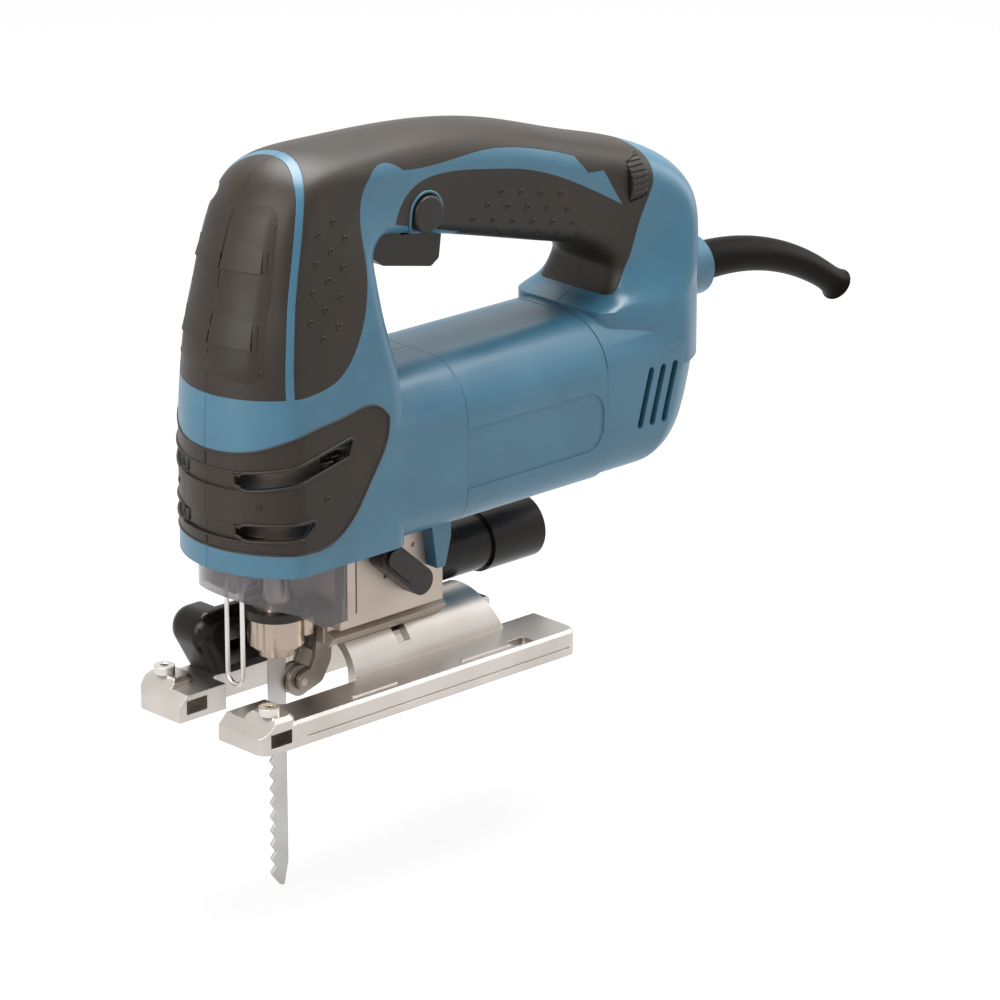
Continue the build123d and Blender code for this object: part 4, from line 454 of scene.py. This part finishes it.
def nose_face():
    """Flat face down the front of the nose pad, with a crease along its outer edge."""
    rows, across, fade = 40, 14, 6
    mesh = bpy.data.meshes.new("nose_face")
    form = bmesh.new()
    for side in SIDES:
        grid = []
        for j in range(rows + 1):
            z = FACE_TOP + (FACE_FOOT - FACE_TOP) * j / rows
            crease = crease_at(z)
            angles = [BAND_SEAM_ANGLE + (crease - BAND_SEAM_ANGLE) * k / across for k in range(across + 1)]
            angles += [crease + FACE_FADE * k / fade for k in range(1, fade + 1)]
            row = [nose_point(angle, z, side, face_rise(angle, z)) for angle in angles]
            grid.append([nose_point(angles[0], z, side, SUNK)] + row)
        add_grid(form, grid, side)
    form.to_mesh(mesh)
    form.free()
    mesh.materials.append(GRIP_RUBBER)
    shade(piece("nose_face", mesh, "housing"), RELIEF_SHARP)


def nose_bands():
    """Raised bands across the nose pad, swelling towards their lower edges, and the lips past their ends."""
    across, down = 16, 8
    mesh = bpy.data.meshes.new("nose_bands")
    form = bmesh.new()
    for side in SIDES:
        for seam_top, seam_low, end_top, end_low, end_angle in NOSE_BANDS:
            grid = []
            for j in range(-1, down + 2):
                row = []
                for i in range(-1, across + 2):
                    u = min(max(i / across, 0.0), 1.0)
                    v = min(max(j / down, 0.0), 1.0)
                    angle = BAND_SEAM_ANGLE + u * (end_angle - BAND_SEAM_ANGLE)
                    top = seam_top + u * (end_top - seam_top)
                    z = top + v * (seam_low + u * (end_low - seam_low) - top)
                    skirt = i < 0 or j < 0 or i > across or j > down
                    rise = face_rise(angle, z) + BAND_RISE[0] + v * (BAND_RISE[1] - BAND_RISE[0])
                    row.append(nose_point(angle, z, side, SUNK if skirt else rise))
                grid.append(row)
            add_grid(form, grid, side)
    form.to_mesh(mesh)
    form.free()
    mesh.materials.append(GRIP_RUBBER)
    shade(piece("nose_bands", mesh, "housing"), RELIEF_SHARP)
    ends = [[nose_point(angle, z, side, face_rise(angle, z)) for z in (top, foot)]
            for side in SIDES for angle, top, foot in BAND_LIPS]
    grown("band_lips", loop_mesh("band_lips", [ends]), BEAD, "housing", Radius=BAND_LIP_BEAD * MM,
          Material=GRIP_RUBBER)


def barrel():
    """Front of the die-cast gear case that shows through the louvres: a half pipe round the plunger."""
    steps, half_turn = BARREL_STEPS, math.radians(BARREL_HALF_TURN)
    points = []
    for z in (BARREL_LOW, BARREL_TOP):
        for radius in (BARREL_R, BARREL_R - BARREL_WALL):
            points += [Vector((BARREL_X - radius * math.cos(a), radius * math.sin(a), z)) * MM
                       for a in (half_turn * (2 * k / steps - 1) for k in range(steps + 1))]
    row = steps + 1
    faces = []
    for k in range(steps):
        corners = [k, k + 1]
        outer, inner, outer_top, inner_top = ([c + row * n for c in corners] for n in range(4))
        faces += [(*outer, *outer_top[::-1]), (*inner[::-1], *inner_top), (*outer[::-1], *inner),
                  (*outer_top, *inner_top[::-1])]
    for k in (0, steps):
        end = (k, k + row, k + 3 * row, k + 2 * row)
        faces.append(end if k == 0 else end[::-1])
    mesh = bpy.data.meshes.new("gear_case_front")
    mesh.from_pydata(points, [], faces)
    mesh.materials.append(BLASTED_ALU)
    shade(piece("gear_case_front", mesh, "housing"))


def ring_on_side(name, x, z, radius, bead, side, material):
    """A round bead on the skin about a side-view place."""
    steps = RING_STEPS
    turns = [2 * math.pi * k / steps for k in range(steps)]
    places = [from_side(x + radius * math.cos(turn), z + radius * math.sin(turn), side)[0] for turn in turns]
    mesh = bpy.data.meshes.new(name)
    mesh.from_pydata(places, [(k, (k + 1) % steps) for k in range(steps)], [])
    grown(name, mesh, BEAD, "housing", Radius=bead * MM, Material=material)


def rim_loops(name):
    """Loops of sharp edges on the outside of a node, each as a list of edges between points."""
    form = bmesh.new()
    form.from_mesh(NODES[name].data)
    bmesh.ops.remove_doubles(form, verts=form.verts, dist=WELD_GAP * MM)
    links = {}
    for edge in form.edges:
        if len(edge.link_faces) == 2 and edge.calc_face_angle() > math.radians(RIM_SHARP):
            middle = (edge.verts[0].co + edge.verts[1].co) / 2
            outside = [f for f in edge.link_faces
                       if SKIN.ray_cast(middle + f.normal * RIM_CLEAR * MM, f.normal)[0] is None]
            if outside:
                for a, b in (edge.verts, reversed(edge.verts)):
                    links.setdefault(a.index, set()).add(b.index)
    places = {v.index: v.co.copy() for v in form.verts if v.index in links}
    form.free()
    loops, seen = [], set()
    for start in links:
        if start in seen:
            continue
        members, queue = set(), [start]
        while queue:
            at = queue.pop()
            if at not in members:
                members.add(at)
                queue += links[at]
        seen |= members
        loops.append([(places[a], places[b]) for a in members for b in links[a] if a < b])
    return loops


def loop_mesh(name, loops):
    """Mesh of bare edges from loops of point pairs."""
    points, edges, index = [], [], {}
    for loop in loops:
        for pair in loop:
            for p in pair:
                key = tuple(p)
                if key not in index:
                    index[key] = len(points)
                    points.append(p)
            edges.append(tuple(index[tuple(p)] for p in pair))
    mesh = bpy.data.meshes.new(name)
    mesh.from_pydata(points, edges, [])
    return mesh


def louvre_beads():
    """Rounded frames round the louvre openings and a raised rim round the covers."""
    frames, rims = [], []
    for side in SIDES.values():
        for loop in rim_loops("vent_cover_" + side):
            across = [p.x for pair in loop for p in pair]
            span = (max(across) - min(across)) / MM
            if span > LOUVRE_SPAN:
                rims.append(loop)
            elif span > LOUVRE_SPAN / 6:
                frames.append(loop)
    grown("louvre_frames", loop_mesh("louvre_frames", frames), BEAD, "housing", Radius=FRAME_BEAD * MM,
          Material=LOUVRE_NYLON)
    grown("louvre_rims", loop_mesh("louvre_rims", rims), BEAD, "housing", Radius=LOUVRE_RIM_BEAD * MM,
          Material=LOUVRE_NYLON)


for name, obj in NODES.items():
    obj.data.materials.clear()
    obj.data.materials.append(MATERIAL_OF.get(name, GROUND_STEEL))
    shade(obj)
dimples()
nose_face()
nose_bands()
ring_on_side("lock_button_ring", *BUTTON_PLACE, BUTTON_RING_R, BUTTON_RING_BEAD, LEFT, BLUE_NYLON)
louvre_beads()
barrel()


def studio():
    """Pale floor, soft lamps and the camera."""
    scene = bpy.context.scene
    scene.view_settings.view_transform = "Standard"
    azimuth, elevation = math.radians(CAMERA_AZIMUTH), math.radians(CAMERA_ELEVATION)
    target = Vector(CAMERA_TARGET) * MM
    back = Vector((math.sin(azimuth) * math.cos(elevation), -math.cos(azimuth) * math.cos(elevation),
                   math.sin(elevation)))
    camera = bpy.data.objects.new("camera", bpy.data.cameras.new("camera"))
    camera.data.sensor_width = CAMERA_SENSOR
    camera.data.lens = CAMERA_LENS
    camera.location = target + back * CAMERA_DISTANCE * MM
    camera.rotation_euler = back.to_track_quat("Z", "Y").to_euler()
    scene.collection.objects.link(camera)
    scene.camera = camera

    def seen_directly(tree):
        """1 for rays from the camera, off a mirror or through glass, and 0 for the rest."""
        path = add(tree, "ShaderNodeLightPath").outputs
        straight = add(tree, "ShaderNodeMath", {0: path["Is Camera Ray"], 1: path["Is Transmission Ray"]},
                       operation="MAXIMUM")
        return add(tree, "ShaderNodeMath", {0: straight.outputs["Value"], 1: path["Is Glossy Ray"]},
                   operation="MAXIMUM").outputs["Value"]

    world = bpy.data.worlds.new("studio_world")
    world.use_nodes = True
    scene.world = world
    tree = world.node_tree
    level = add(tree, "ShaderNodeMapRange", {"Value": seen_directly(tree), "To Min": WORLD_LEVEL,
                                             "To Max": 1.0})
    tree.nodes["Background"].inputs["Color"].default_value = grey(1.0)
    tree.links.new(level.outputs["Result"], tree.nodes["Background"].inputs["Strength"])

    def lamp(name, place, size, power):
        """Rectangular soft lamp aimed at the target."""
        light = bpy.data.lights.new(name, "AREA")
        light.shape = "RECTANGLE"
        light.size, light.size_y = size
        light.energy = power
        obj = bpy.data.objects.new(name, light)
        obj.location = place
        obj.rotation_euler = (Vector(place) - target).to_track_quat("Z", "Y").to_euler()
        scene.collection.objects.link(obj)

    for settings in LAMPS:
        lamp(*settings)

    floor = bpy.data.meshes.new("floor")
    half, low = FLOOR_HALF, CAD_BOX[0].z - FLOOR_GAP * MM
    floor.from_pydata([(-half, -half, low), (half, -half, low), (half, half, low), (-half, half, low)], [],
                      [(0, 1, 2, 3)])
    obj = bpy.data.objects.new("floor", floor)
    scene.collection.objects.link(obj)
    material, tree, shader, place = blank("matt_white_paper")
    fibre = add(tree, "ShaderNodeTexNoise", {"Vector": place, "Scale": 1 / (4 * MM), "Detail": 2.0})
    paper = add(tree, "ShaderNodeValToRGB", {"Fac": fibre.outputs["Fac"]})
    ramp(paper, [(0.3, linear("#F2F2F2")), (0.7, linear("#F5F5F5"))])
    tree.links.new(paper.outputs["Color"], shader.inputs["Base Color"])
    shader.inputs["Roughness"].default_value = 0.9
    glow = add(tree, "ShaderNodeEmission", {"Color": grey(1.0), "Strength": 1.0})
    share = add(tree, "ShaderNodeMath", {0: seen_directly(tree), 1: FLOOR_GLOW}, operation="MULTIPLY")
    mix = add(tree, "ShaderNodeMixShader", {0: share.outputs["Value"], 1: shader.outputs["BSDF"],
                                            2: glow.outputs["Emission"]})
    tree.links.new(mix.outputs["Shader"], tree.nodes["Material Output"].inputs["Surface"])
    floor.materials.append(material)


studio()
